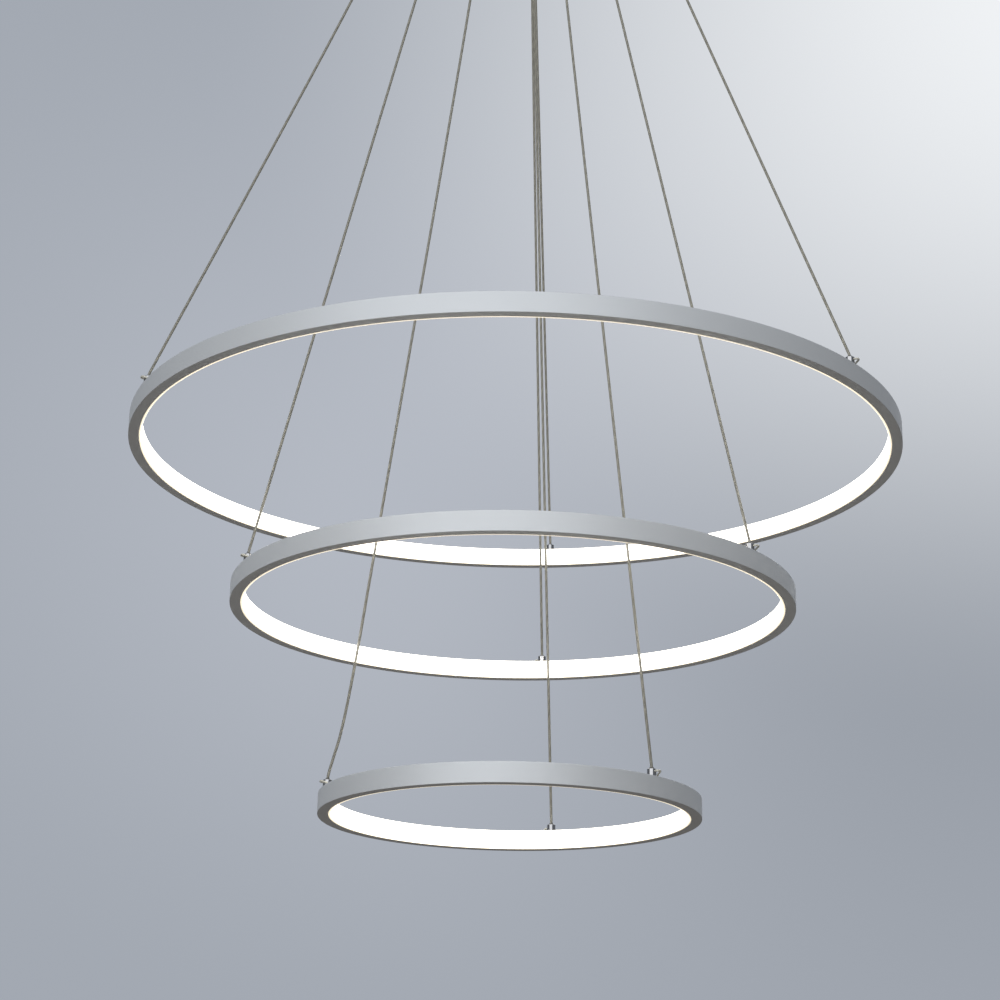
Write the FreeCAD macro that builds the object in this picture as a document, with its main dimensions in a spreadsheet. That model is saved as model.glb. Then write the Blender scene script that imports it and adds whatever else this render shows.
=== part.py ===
import FreeCAD, Part
import math
import os
import Sketcher

# A three-tier pendant light: three lit aluminium rings hang one below the other, each on
# three current-carrying suspension cables that run up into one round ceiling canopy.
# Lengths are in millimetres and angles in degrees. The origin is the middle of the ceiling
# plate's top face, +Z points up into the ceiling, and -Y faces the viewer.
# Everything here hangs below the ceiling, so most heights are measured down from it.

os.makedirs("parts", exist_ok=True)
doc = FreeCAD.newDocument("ring_chandelier")
sheet = doc.addObject("Spreadsheet::Sheet", "Sizes")

SIZES = {
    # rings: outside diameter, and how far the underside hangs below the ceiling
    "large_diameter": 800.0,
    "middle_diameter": 576.0,
    "small_diameter": 382.0,
    "large_drop": 930.0,
    "middle_drop": 1097.0,
    "small_drop": 1308.0,
    # ring section: a channel that opens towards the axis
    "profile_depth": 10.8,
    "profile_height": 20.0,
    "profile_wall": 1.2,
    "edge_break": 0.4,
    "seam_gap": 0.2,
    # diffuser: a strip over the whole inner side, with a leg along each channel wall
    "diffuser_proud": 2.4,
    "diffuser_inset": 0.2,
    "diffuser_leg": 1.6,
    "diffuser_leg_wall": 1.0,
    "diffuser_crown": 0.6,
    # light source
    "strip_height": 8.0,
    "strip_wall": 0.3,
    "led_width": 2.8,
    "led_height": 3.5,
    "led_depth": 0.8,
    "large_led_count": 72.0,
    "middle_led_count": 54.0,
    "small_led_count": 36.0,
    # splice behind the seam
    "splice_length": 28.0,
    "splice_width": 5.0,
    "splice_wall": 1.5,
    "splice_screw_pitch": 6.0,
    "splice_screw_shank": 2.4,
    "splice_screw_head": 4.4,
    "splice_screw_rise": 1.4,
    # cable clamp on top of the ring
    "clamp_diameter": 9.0,
    "clamp_height": 7.0,
    "clamp_chamfer": 0.5,
    "clamp_stud": 4.0,
    "clamp_stud_length": 4.4,
    "clamp_cable_depth": 3.0,
    "clamp_side_depth": 2.5,
    "clamp_side_height": 4.6,
    "clamp_nut_flats": 7.0,
    "clamp_nut_height": 2.4,
    "nozzle_diameter": 4.4,
    "nozzle_height": 1.5,
    "tail_offset": 8.0,
    "tail_reach": 7.4,
    "tail_depth": 4.5,
    # suspension cable, and the thinner lead that goes on from each of its ends
    "cable_diameter": 2.8,
    "cable_bore": 3.2,
    "lead_diameter": 2.0,
    "lead_bore": 2.4,
    # azimuth of each ring's far cable, seen from above
    "large_azimuth": 83.5,
    "middle_azimuth": 83.0,
    "small_azimuth": 76.0,
    # canopy
    "canopy_diameter": 250.0,
    "canopy_height": 45.0,
    "canopy_wall": 1.0,
    "canopy_fillet": 4.0,
    "canopy_shadow_gap": 0.5,
    "plate_wall": 1.5,
    "plate_diameter": 236.0,
    "ear_width": 14.0,
    "ear_height": 18.0,
    "side_screw_drop": 12.0,
    "side_screw_shank": 4.0,
    "side_screw_length": 5.0,
    "side_screw_head": 9.0,
    "side_screw_grip": 6.0,
    "slot_spacing": 70.0,
    "slot_width": 5.0,
    "slot_length": 14.0,
    # mains entry
    "entry_diameter": 20.0,
    "entry_offset": 18.0,
    "grommet_flange": 24.0,
    "grommet_height": 5.0,
    "grommet_bore": 9.0,
    # cable grippers in the canopy's floor, on three circles
    "gripper_driver_gap": 8.0,
    "gripper_step": 21.0,
    "gripper_diameter": 10.0,
    "gripper_drop": 11.5,
    "gripper_stub": 8.0,
    "gripper_stub_length": 11.0,
    "gripper_chamber": 5.2,
    "gripper_chamber_depth": 8.0,
    "gripper_nut_flats": 12.0,
    "gripper_nut_height": 4.0,
    "plunger_diameter": 4.6,
    "plunger_length": 9.5,
    "plunger_collar": 7.0,
    "plunger_collar_height": 1.5,
    "plunger_show": 3.5,
    # drivers, one towards each side of the canopy
    "driver_length": 96.0,
    "driver_width": 30.0,
    "driver_height": 24.5,
    "driver_wall": 1.5,
    "driver_rim_gap": 21.0,
    "board_wall": 1.6,
    "board_margin": 1.0,
    "transformer_length": 22.0,
    "transformer_width": 17.0,
    "transformer_height": 15.0,
    "capacitor_offset": 32.0,
    "capacitor_diameter": 11.0,
    "capacitor_height": 16.0,
    # terminal block, earth screw and internal leads
    "block_length": 46.0,
    "block_width": 20.0,
    "block_height": 16.0,
    "block_middle": 36.0,
    "block_poles": 5.0,
    "block_screw_head": 4.0,
    "block_screw_rise": 4.0,
    "block_well": 4.6,
    "earth_side": 14.0,
    "earth_offset": 50.0,
    "earth_tag": 14.0,
    "earth_tag_wall": 1.0,
    "earth_shank": 4.0,
    "earth_head": 7.0,
    "earth_head_rise": 2.6,
    "mains_lead_diameter": 2.4,
    "mains_lead_drop": 9.0,
    "mains_lead_pitch": 6.0,
    "feed_lead_drop": 24.0,
    "feed_lead_step": 2.5,
    "feed_lead_end": 8.0,
    # clearance between pieces that fit into or over each other
    "fit_gap": 0.1,
}
for row, (alias, number) in enumerate(SIZES.items(), start=1):
    sheet.set(f"A{row}", alias.replace("_", " "))
    sheet.set(f"B{row}", str(number))
    sheet.setAlias(f"B{row}", alias)
doc.recompute()


class Size:
    """A number together with the formula that gives it from the sheet's cells."""

    def __init__(self, value, formula):
        self.value = float(value)
        self.formula = formula

    def __add__(self, other):
        other = size_of(other)
        return Size(self.value + other.value, f"({self.formula} + {other.formula})")

    def __sub__(self, other):
        other = size_of(other)
        return Size(self.value - other.value, f"({self.formula} - {other.formula})")

    def __mul__(self, other):
        other = size_of(other)
        return Size(self.value * other.value, f"({self.formula} * {other.formula})")

    def __truediv__(self, other):
        other = size_of(other)
        return Size(self.value / other.value, f"({self.formula} / {other.formula})")

    def __neg__(self):
        return size_of(0) - self


def size_of(number):
    return number if isinstance(number, Size) else Size(number, str(float(number)))


def cell(alias):
    return Size(sheet.get(alias), f"Sizes.{alias}")


def cosine(angle):
    return Size(math.cos(math.radians(angle.value)), f"cos({angle.formula})")


def sine(angle):
    return Size(math.sin(math.radians(angle.value)), f"sin({angle.formula})")


ZERO = size_of(0)
FIT = cell("fit_gap")


# ---------------------------------------------------------------- building blocks


def put(item, x=ZERO, y=ZERO, z=ZERO, turn=None):
    """Places an item, and ties its position to the sheet."""
    base = FreeCAD.Vector(x.value, y.value, z.value)
    item.Placement = FreeCAD.Placement(base, turn or FreeCAD.Rotation())
    for axis, place in zip("xyz", (x, y, z)):
        item.setExpression(f"Placement.Base.{axis}", place.formula)
    return item


def about_z(angle):
    return FreeCAD.Rotation(FreeCAD.Vector(0, 0, 1), angle.value)


def along_radius(angle):
    """Turns a piece that is made along +Z so that it points outwards at that azimuth."""
    return about_z(angle).multiply(FreeCAD.Rotation(FreeCAD.Vector(0, 1, 0), 90))


def rod(name, diameter, length, x=ZERO, y=ZERO, z=ZERO, turn=None):
    item = doc.addObject("Part::Cylinder", name)
    item.setExpression("Radius", (diameter / 2).formula)
    item.setExpression("Height", length.formula)
    return put(item, x, y, z, turn)


def block(name, length, width, height, x=ZERO, y=ZERO, z=ZERO, turn=None):
    item = doc.addObject("Part::Box", name)
    for side, size in (("Length", length), ("Width", width), ("Height", height)):
        item.setExpression(side, size.formula)
    return put(item, x, y, z, turn)


def hexagon(name, flats, height, x, y, z, turn=None):
    item = doc.addObject("Part::Prism", name)
    item.Polygon = 6
    item.setExpression("Circumradius", (flats / 2 / cosine(size_of(30))).formula)
    item.setExpression("Height", height.formula)
    return put(item, x, y, z, turn)


def turned(name, section, x=ZERO, y=ZERO, z=ZERO, turn=None):
    """A body of revolution from its section, a list of (radius, height) corners."""
    body = doc.addObject("PartDesign::Body", name)
    sketch = body.newObject("Sketcher::SketchObject", f"{name}_section")
    plane = next(f for f in body.Origin.OriginFeatures if f.Role == "XZ_Plane")
    sketch.AttachmentSupport = [(plane, "")]
    sketch.MapMode = "FlatFace"
    corners = [FreeCAD.Vector(r.value, height.value, 0) for r, height in section]
    count = len(corners)
    for i, corner in enumerate(corners):
        sketch.addGeometry(Part.LineSegment(corner, corners[(i + 1) % count]), False)
    for i in range(count):
        sketch.addConstraint(Sketcher.Constraint("Coincident", i, 2, (i + 1) % count, 1))
    for i, corner in enumerate(section):
        for kind, axis, size in zip(("DistanceX", "DistanceY"), (-2, -1), corner):
            if size is ZERO:
                sketch.addConstraint(Sketcher.Constraint("PointOnObject", i, 1, axis))
                continue
            dimension = Sketcher.Constraint(kind, -1, 1, i, 1, size.value)
            index = sketch.addConstraint(dimension)
            sketch.setExpression(f"Constraints[{index}]", size.formula)
    solid = body.newObject("PartDesign::Revolution", f"{name}_turn")
    solid.Profile = sketch
    solid.ReferenceAxis = (sketch, ["V_Axis"])
    solid.Angle = 360
    sketch.Visibility = False
    body.Tip = solid
    return put(body, x, y, z, turn)


def fused(name, items):
    item = doc.addObject("Part::MultiFuse", name)
    item.Shapes = items
    return item


def cut(name, base, tools):
    item = doc.addObject("Part::Cut", name)
    item.Base = base
    item.Tool = tools[0] if len(tools) == 1 else fused(f"{name}_tools", tools)
    return item


def group(name, items):
    """Several separate solids that are one sub-part, such as a set of screws."""
    item = doc.addObject("Part::Compound", name)
    item.Links = items
    return item


def rounded_path(name, corners):
    """Straight runs joined by tangent arcs, each as large as its two runs allow."""
    points = [FreeCAD.Vector(*corner) for corner in corners]
    edges = []
    radii = []
    start = points[0]
    for before, corner, after in zip(points, points[1:], points[2:]):
        back = before - corner
        ahead = after - corner
        half_turn = (math.pi - back.getAngle(ahead)) / 2
        reach = 0.45 * min(back.Length, ahead.Length)
        radius = reach / math.tan(half_turn)
        back.normalize()
        ahead.normalize()
        first = corner + back * reach
        last = corner + ahead * reach
        inward = (back + ahead).normalize()
        middle = corner + inward * (radius / math.cos(half_turn) - radius)
        edges.append(Part.LineSegment(start, first).toShape())
        edges.append(Part.Arc(first, middle, last).toShape())
        radii.append(round(radius, 1))
        start = last
    edges.append(Part.LineSegment(start, points[-1]).toShape())
    print(f"{name}: bend radii {radii}")
    return Part.Wire(edges)


def tube(name, corners, diameter):
    """A round tube swept along runs and arcs. A sweep has no parametric object that takes
    arcs joined this way, so its shape is set here."""
    path = rounded_path(name, corners)
    start = FreeCAD.Vector(*corners[0])
    heading = FreeCAD.Vector(*corners[1]) - start
    rim = Part.Wire([Part.Circle(start, heading, diameter.value / 2).toShape()])
    shape = path.makePipeShell([rim], True, False)
    expected = math.pi * diameter.value**2 / 4 * path.Length
    share = shape.Volume / expected
    print(f"{name}: length {path.Length:.1f}, volume over section x length {share:.4f}")
    item = doc.addObject("Part::Feature", name)
    item.Shape = shape
    item.Placement = FreeCAD.Placement()
    return item


# ---------------------------------------------------------------- the three rings

SIDES = {"far": 0.0, "left": 120.0, "right": 240.0}

TOP = cell("profile_height")
DEPTH = cell("profile_depth")
WALL = cell("profile_wall")
CABLE = cell("cable_diameter")
BORE = cell("cable_bore")
LEAD = cell("lead_diameter")
LEAD_BORE = cell("lead_bore")

# Where each cable runs, in the upright plane through the axis at its azimuth: distance from
# the axis and height, chosen by hand. It leaves its gripper straight down, runs taut to the
# ring and turns upright again to enter the clamp's nozzle.
CABLE_ROUTES = {
    "large": [(66.0, -34.0), (66.0, -80.0), (394.6, -896.0), (394.6, -906.0)],
    "middle": [(45.0, -34.0), (45.0, -80.0), (282.6, -1061.0), (282.6, -1073.0)],
    "small": [(24.0, -34.0), (24.0, -80.0), (185.6, -1268.0), (185.6, -1284.0)],
}


def ring_profile(ring, radius, floor, clamp_circle, angles):
    """Channel section, rolled to a ring and closed at one seam."""
    chamfer = cell("edge_break")
    inner = radius - DEPTH
    section = [
        (radius - chamfer, ZERO),
        (radius, chamfer),
        (radius, TOP - chamfer),
        (radius - chamfer, TOP),
        (inner, TOP),
        (inner, TOP - WALL),
        (radius - WALL, TOP - WALL),
        (radius - WALL, WALL),
        (inner, WALL),
        (inner, ZERO),
    ]
    channel = turned(f"{ring}_channel", section, z=floor)
    through = WALL * 3
    level = floor + TOP - WALL * 2
    tools = []
    for side, angle in angles.items():
        x = clamp_circle * cosine(angle)
        y = clamp_circle * sine(angle)
        stud = cell("clamp_stud") + FIT * 2
        tools.append(rod(f"{ring}_{side}_stud_hole", stud, through, x, y, level))
        x, y = beside(clamp_circle, angle, cell("tail_offset"))
        tools.append(rod(f"{ring}_{side}_tail_hole", LEAD_BORE, through, x, y, level))
    for index, (x, y) in enumerate(splice_screw_places(clamp_circle, angles["far"])):
        hole = cell("splice_screw_shank") + FIT * 2
        tools.append(rod(f"{ring}_splice_hole_{index}", hole, through, x, y, level))
    seam = seam_angle(angles["far"])
    gap = cell("seam_gap")
    x = (radius - DEPTH * 2) * cosine(seam) + gap / 2 * sine(seam)
    y = (radius - DEPTH * 2) * sine(seam) - gap / 2 * cosine(seam)
    slit = block(f"{ring}_seam", DEPTH * 3, gap, TOP * 2, x, y, floor - TOP / 2, about_z(seam))
    tools.append(slit)
    return cut(f"{ring}_ring_profile", channel, tools)


def beside(circle, angle, offset):
    """The point that lies that far along the ring from the circle's point at the angle."""
    x = circle * cosine(angle) - offset * sine(angle)
    y = circle * sine(angle) + offset * cosine(angle)
    return x, y


def seam_angle(far):
    return far + 60


def splice_screw_places(circle, far):
    pitch = cell("splice_screw_pitch")
    steps = (pitch * -1.5, pitch * -0.5, pitch * 0.5, pitch * 1.5)
    return [beside(circle, seam_angle(far), step) for step in steps]


def ring_diffuser(ring, radius, floor):
    """Opal strip: a shallow crowned face over the inner side, with two legs in the channel."""
    inset = cell("diffuser_inset")
    crown = cell("diffuser_crown")
    back = radius - DEPTH - FIT
    front = radius - DEPTH - cell("diffuser_proud")
    leg_tip = back + FIT + cell("diffuser_leg")
    leg = cell("diffuser_leg_wall")
    shoulder = inset + crown * 2
    top = TOP - inset
    leg_top = TOP - WALL - FIT
    leg_floor = WALL + FIT
    section = [
        (back, inset),
        (back, leg_floor),
        (leg_tip, leg_floor),
        (leg_tip, leg_floor + leg),
        (back, leg_floor + leg),
        (back, leg_top - leg),
        (leg_tip, leg_top - leg),
        (leg_tip, leg_top),
        (back, leg_top),
        (back, top),
        (front + crown, top),
        (front, TOP - shoulder),
        (front, shoulder),
        (front + crown, inset),
    ]
    return turned(f"{ring}_ring_diffuser", section, z=floor)


def led_strip(ring, radius, floor, far):
    """Flexible board on the channel's back wall, with its two ends at the seam."""
    outer = radius - WALL - FIT
    inner = outer - cell("strip_wall")
    height = cell("strip_height")
    low = (TOP - height) / 2
    section = [(inner, low), (outer, low), (outer, low + height), (inner, low + height)]
    band = turned(f"{ring}_strip_band", section, z=floor)
    seam = seam_angle(far)
    gap = cell("seam_gap") * 5
    x = inner * cosine(seam) + gap / 2 * sine(seam) - WALL * cosine(seam)
    y = inner * sine(seam) - gap / 2 * cosine(seam) - WALL * sine(seam)
    ends = block(f"{ring}_strip_gap", WALL * 3, gap, TOP, x, y, floor, about_z(seam))
    return cut(f"{ring}_led_strip", band, [ends])


def leds(ring, radius, floor, far):
    face = radius - WALL - FIT - cell("strip_wall") - FIT / 4
    depth = cell("led_depth")
    width = cell("led_width")
    height = cell("led_height")
    count = int(cell(f"{ring}_led_count").value)
    chips = []
    for index in range(count):
        angle = far + (index + 0.5) * 360.0 / count
        x, y = beside(face - depth, angle, width * -0.5)
        low = floor + (TOP - height) / 2
        name = f"{ring}_led_{index}"
        chips.append(block(name, depth, width, height, x, y, low, about_z(angle)))
    return group(f"{ring}_leds", chips)


def splice(ring, clamp_circle, floor, far):
    """Plate under the channel's top wall that bridges the seam, and its four screws."""
    seam = seam_angle(far)
    long = cell("splice_length")
    wide = cell("splice_width")
    wall = cell("splice_wall")
    shank = cell("splice_screw_shank")
    places = splice_screw_places(clamp_circle, far)
    x, y = beside(clamp_circle - wide / 2, seam, long * -0.5)
    under = floor + TOP - WALL - wall
    bar = block(f"{ring}_splice_bar", wide, long, wall, x, y, under, about_z(seam))
    holes = []
    screws = []
    for index, (x, y) in enumerate(places):
        drill = (f"{ring}_bar_hole_{index}", shank + FIT * 2, wall * 3)
        holes.append(rod(*drill, x, y, under - wall))
        head = cell("splice_screw_head") / 2
        grip = WALL + wall + cell("edge_break")
        section = [
            (ZERO, ZERO),
            (shank / 2, ZERO),
            (shank / 2, grip),
            (head, grip),
            (head, grip + cell("splice_screw_rise") / 2),
            (head - cell("edge_break"), grip + cell("splice_screw_rise")),
            (ZERO, grip + cell("splice_screw_rise")),
        ]
        tip = floor + TOP - grip
        screws.append(turned(f"{ring}_splice_screw_{index}", section, x, y, tip))
    plate = cut(f"{ring}_splice_plate", bar, holes)
    group(f"{ring}_splice", [plate] + screws)


def clamp(ring, side, circle, floor, angle):
    """Clamp body: the cable enters its top, its tail leaves sideways, and a stud below
    goes through the channel's top wall."""
    radius = cell("clamp_diameter") / 2
    stud = cell("clamp_stud") / 2
    below = cell("clamp_stud_length")
    chamfer = cell("clamp_chamfer")
    tall = below + cell("clamp_height")
    pocket = tall - cell("clamp_cable_depth")
    section = [
        (ZERO, ZERO),
        (stud, ZERO),
        (stud, below),
        (radius, below),
        (radius, tall - chamfer),
        (radius - chamfer, tall),
        (BORE / 2, tall),
        (BORE / 2, pocket),
        (ZERO, pocket),
    ]
    x = circle * cosine(angle)
    y = circle * sine(angle)
    root = floor + TOP
    body = turned(f"{ring}_{side}_clamp_blank", section, x, y, root - below)
    depth = cell("clamp_side_depth")
    x = (circle + radius - depth) * cosine(angle)
    y = (circle + radius - depth) * sine(angle)
    level = root + cell("clamp_side_height")
    turn = along_radius(angle)
    side_bore = rod(f"{ring}_{side}_side_bore", LEAD_BORE, depth * 2, x, y, level, turn)
    return cut(f"{ring}_{side}_clamp", body, [side_bore])


def clamp_nut(ring, side, circle, floor, angle):
    height = cell("clamp_nut_height")
    x = circle * cosine(angle)
    y = circle * sine(angle)
    level = floor + TOP - WALL - height
    flats = cell("clamp_nut_flats")
    turn = about_z(angle + 30)
    blank = hexagon(f"{ring}_{side}_nut_blank", flats, height, x, y, level, turn)
    thread = cell("clamp_stud") + FIT * 2
    hole = rod(f"{ring}_{side}_nut_hole", thread, height * 3, x, y, level - height)
    return cut(f"{ring}_{side}_clamp_nut", blank, [hole])


def nozzle(ring, side, circle, floor, angle):
    height = cell("nozzle_height")
    outer = cell("nozzle_diameter") / 2
    section = [
        (BORE / 2, ZERO),
        (outer, ZERO),
        (outer, height - FIT * 3),
        (outer - FIT * 3, height),
        (BORE / 2, height),
    ]
    x = circle * cosine(angle)
    y = circle * sine(angle)
    level = floor + TOP + cell("clamp_height")
    return turned(f"{ring}_{side}_nozzle", section, x, y, level)


def tail(ring, side, circle, floor, angle):
    """The cable's tail: a small loop from the clamp's side down into the ring."""
    start = (cell("clamp_diameter") / 2 - cell("clamp_side_depth")).value
    level = cell("clamp_side_height").value
    reach = cell("tail_reach").value
    along = cell("tail_offset").value
    # outwards from the clamp's axis, along the ring, and up from the ring's top
    steps = [
        (start, 0.0, level),
        (reach, 0.0, level),
        (reach + 0.2, along * 0.58, level * 1.1),
        (0.0, along, level * 0.43),
        (0.0, along, -cell("tail_depth").value),
    ]
    outward = FreeCAD.Vector(cosine(angle).value, sine(angle).value, 0)
    onward = FreeCAD.Vector(-outward.y, outward.x, 0)
    root = outward * circle.value + FreeCAD.Vector(0, 0, (floor + TOP).value)
    corners = []
    for out, sideways, up in steps:
        point = root + outward * out + onward * sideways + FreeCAD.Vector(0, 0, up)
        corners.append(tuple(point))
    return tube(f"{ring}_{side}_tail", corners, LEAD)


def suspension_cable(ring, side, angle):
    corners = []
    for distance, height in CABLE_ROUTES[ring]:
        x = distance * cosine(angle).value
        y = distance * sine(angle).value
        corners.append((x, y, height))
    return tube(f"{ring}_{side}_cable", corners, CABLE)


def build_ring(ring):
    radius = cell(f"{ring}_diameter") / 2
    floor = -cell(f"{ring}_drop")
    circle = radius - DEPTH / 2
    far = cell(f"{ring}_azimuth")
    angles = {side: far + turn for side, turn in SIDES.items()}
    ring_profile(ring, radius, floor, circle, angles)
    ring_diffuser(ring, radius, floor)
    led_strip(ring, radius, floor, far)
    leds(ring, radius, floor, far)
    splice(ring, circle, floor, far)
    sets = {"clamps": clamp, "clamp_nuts": clamp_nut, "nozzles": nozzle, "cable_tails": tail}
    for name, make in sets.items():
        pieces = [make(ring, side, circle, floor, angle) for side, angle in angles.items()]
        group(f"{ring}_ring_{name}", pieces)
    for side, angle in angles.items():
        suspension_cable(ring, side, angle)


# ---------------------------------------------------------------- the canopy

CANOPY_FLOOR = -cell("canopy_height")
CANOPY_WALL = cell("canopy_wall")
CANOPY_RADIUS = cell("canopy_diameter") / 2
PLATE = cell("plate_wall")
EAR_ANGLES = [size_of(angle) for angle in (30.0, 150.0, 270.0)]
EAR_FACE = CANOPY_RADIUS - CANOPY_WALL - FIT * 3
DRIVER_FACE = CANOPY_RADIUS - cell("driver_rim_gap") - cell("driver_width")
EARTH_SHANK = cell("earth_shank")
EARTH_TAG_WALL = cell("earth_tag_wall")


def gripper_places():
    """Ring, side and position of each of the nine grippers."""
    outermost = DRIVER_FACE - cell("gripper_driver_gap")
    for tier, ring in enumerate(CABLE_ROUTES):
        circle = outermost - cell("gripper_step") * tier
        for side, turn in SIDES.items():
            angle = cell(f"{ring}_azimuth") + turn
            yield ring, side, circle * cosine(angle), circle * sine(angle)


def canopy_cover():
    """Drawn steel shell with nine holes in its floor and three in its side."""
    rise = cell("canopy_height") - cell("canopy_shadow_gap")
    section = [
        (ZERO, ZERO),
        (CANOPY_RADIUS, ZERO),
        (CANOPY_RADIUS, rise),
        (CANOPY_RADIUS - CANOPY_WALL, rise),
        (CANOPY_RADIUS - CANOPY_WALL, CANOPY_WALL),
        (ZERO, CANOPY_WALL),
    ]
    shell = turned("canopy_shell", section, z=CANOPY_FLOOR)
    doc.recompute()
    rim = cell("canopy_diameter").value / 2
    edges = []
    for index, edge in enumerate(shell.Shape.Edges, start=1):
        circle = edge.Curve if isinstance(edge.Curve, Part.Circle) else None
        level = edge.BoundBox.ZMax - CANOPY_FLOOR.value
        if circle and abs(level) < 0.01 and abs(circle.Radius - rim) < 0.01:
            bend = cell("canopy_fillet").value
            edges.append((index, bend, bend))
    rounded = doc.addObject("Part::Fillet", "canopy_rounded")
    rounded.Base = shell
    rounded.Edges = edges
    tools = []
    for ring, side, x, y in gripper_places():
        hole = cell("gripper_stub") + FIT * 2
        level = CANOPY_FLOOR - CANOPY_WALL
        tools.append(rod(f"{ring}_{side}_canopy_hole", hole, CANOPY_WALL * 3, x, y, level))
    for index, angle in enumerate(EAR_ANGLES):
        x = (EAR_FACE - PLATE) * cosine(angle)
        y = (EAR_FACE - PLATE) * sine(angle)
        level = -cell("side_screw_drop")
        hole = cell("side_screw_shank") + FIT * 4
        turn = along_radius(angle)
        drill = (f"canopy_side_hole_{index}", hole, CANOPY_WALL * 6)
        tools.append(rod(*drill, x, y, level, turn))
    cut("canopy_cover", rounded, tools)


def ceiling_plate():
    """Steel plate that is screwed to the ceiling, with three ears that hold the cover."""
    width = cell("ear_width")
    drop = cell("ear_height")
    disc = rod("plate_disc", cell("plate_diameter"), PLATE, z=-PLATE)
    pieces = [disc]
    tools = []
    for index, angle in enumerate(EAR_ANGLES):
        start = cell("plate_diameter") / 2 - width
        x, y = beside(start, angle, width * -0.5)
        reach = EAR_FACE - start
        turn = about_z(angle)
        tab = block(f"ear_tab_{index}", reach, width, PLATE, x, y, -PLATE, turn)
        x, y = beside(EAR_FACE - PLATE, angle, width * -0.5)
        ear = block(f"ear_{index}", PLATE, width, drop, x, y, -drop, turn)
        pieces += [tab, ear]
        x = (EAR_FACE - PLATE * 2) * cosine(angle)
        y = (EAR_FACE - PLATE * 2) * sine(angle)
        hole = cell("side_screw_shank") + FIT * 2
        level = -cell("side_screw_drop")
        drill = (f"ear_hole_{index}", hole, PLATE * 3)
        tools.append(rod(*drill, x, y, level, along_radius(angle)))
    slot_wide = cell("slot_width")
    straight = cell("slot_length") - slot_wide
    for index, side in enumerate((-0.5, 0.5)):
        middle = cell("slot_spacing") * side
        x = middle - straight / 2
        box = (f"slot_{index}", straight, slot_wide, PLATE * 3)
        tools.append(block(*box, x, slot_wide / -2, PLATE * -2))
        for end in (-0.5, 0.5):
            x = middle + straight * end
            tools.append(rod(f"slot_end_{index}", slot_wide, PLATE * 3, x, ZERO, PLATE * -2))
    below = PLATE * -2
    y = -cell("entry_offset")
    tools.append(rod("entry_hole", cell("entry_diameter"), PLATE * 3, ZERO, y, below))
    x = -cell("earth_side")
    y = -cell("earth_offset")
    tools.append(rod("earth_hole", EARTH_SHANK + FIT * 2, PLATE * 3, x, y, below))
    cut("ceiling_plate", fused("plate_blank", pieces), tools)


def cover_screws():
    """Knurled screws through the cover's side into the plate's ears."""
    shank = cell("side_screw_shank") / 2
    head = cell("side_screw_head") / 2
    long = cell("side_screw_length")
    grip = cell("side_screw_grip")
    chamfer = cell("clamp_chamfer")
    section = [
        (ZERO, ZERO),
        (shank, ZERO),
        (shank, long),
        (head - chamfer, long),
        (head, long + chamfer),
        (head, long + grip - chamfer),
        (head - chamfer, long + grip),
        (ZERO, long + grip),
    ]
    screws = []
    for index, angle in enumerate(EAR_ANGLES):
        start = CANOPY_RADIUS + FIT - long
        x = start * cosine(angle)
        y = start * sine(angle)
        level = -cell("side_screw_drop")
        name = f"cover_screw_{index}"
        screws.append(turned(name, section, x, y, level, along_radius(angle)))
    group("cover_screws", screws)


def mains_grommet():
    height = cell("grommet_height")
    bore = cell("grommet_bore") / 2
    neck = cell("entry_diameter") / 2 - FIT
    flange = cell("grommet_flange") / 2
    section = [
        (bore, ZERO),
        (flange - FIT * 5, ZERO),
        (flange, FIT * 5),
        (flange, height - PLATE),
        (neck, height - PLATE),
        (neck, height),
        (bore, height),
    ]
    turned("mains_grommet", section, ZERO, -cell("entry_offset"), -height)


def gripper_body(ring, side, x, y):
    outer = cell("gripper_diameter") / 2
    stub = cell("gripper_stub") / 2
    drop = cell("gripper_drop")
    tall = drop + cell("gripper_stub_length")
    chamber = cell("gripper_chamber") / 2
    depth = cell("gripper_chamber_depth")
    chamfer = cell("clamp_chamfer")
    section = [
        (chamber, ZERO),
        (outer - chamfer, ZERO),
        (outer, chamfer),
        (outer, drop),
        (stub, drop),
        (stub, tall),
        (BORE / 2, tall),
        (BORE / 2, depth),
        (chamber, depth),
    ]
    return turned(f"{ring}_{side}_gripper", section, x, y, CANOPY_FLOOR - drop)


def gripper_nut(ring, side, x, y):
    height = cell("gripper_nut_height")
    level = CANOPY_FLOOR + CANOPY_WALL
    flats = cell("gripper_nut_flats")
    blank = hexagon(f"{ring}_{side}_lock_blank", flats, height, x, y, level)
    thread = cell("gripper_stub") + FIT * 2
    hole = rod(f"{ring}_{side}_lock_hole", thread, height * 3, x, y, level - height)
    return cut(f"{ring}_{side}_lock_nut", blank, [hole])


def plunger(ring, side, x, y):
    """Release plunger: pushed up, it frees the cable so that the ring can be raised."""
    stem = cell("plunger_diameter") / 2
    collar = cell("plunger_collar") / 2
    thick = cell("plunger_collar_height")
    section = [
        (BORE / 2, ZERO),
        (collar - FIT * 3, ZERO),
        (collar, FIT * 3),
        (collar, thick),
        (stem, thick),
        (stem, cell("plunger_length")),
        (BORE / 2, cell("plunger_length")),
    ]
    level = CANOPY_FLOOR - cell("gripper_drop") - cell("plunger_show")
    return turned(f"{ring}_{side}_plunger", section, x, y, level)


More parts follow.
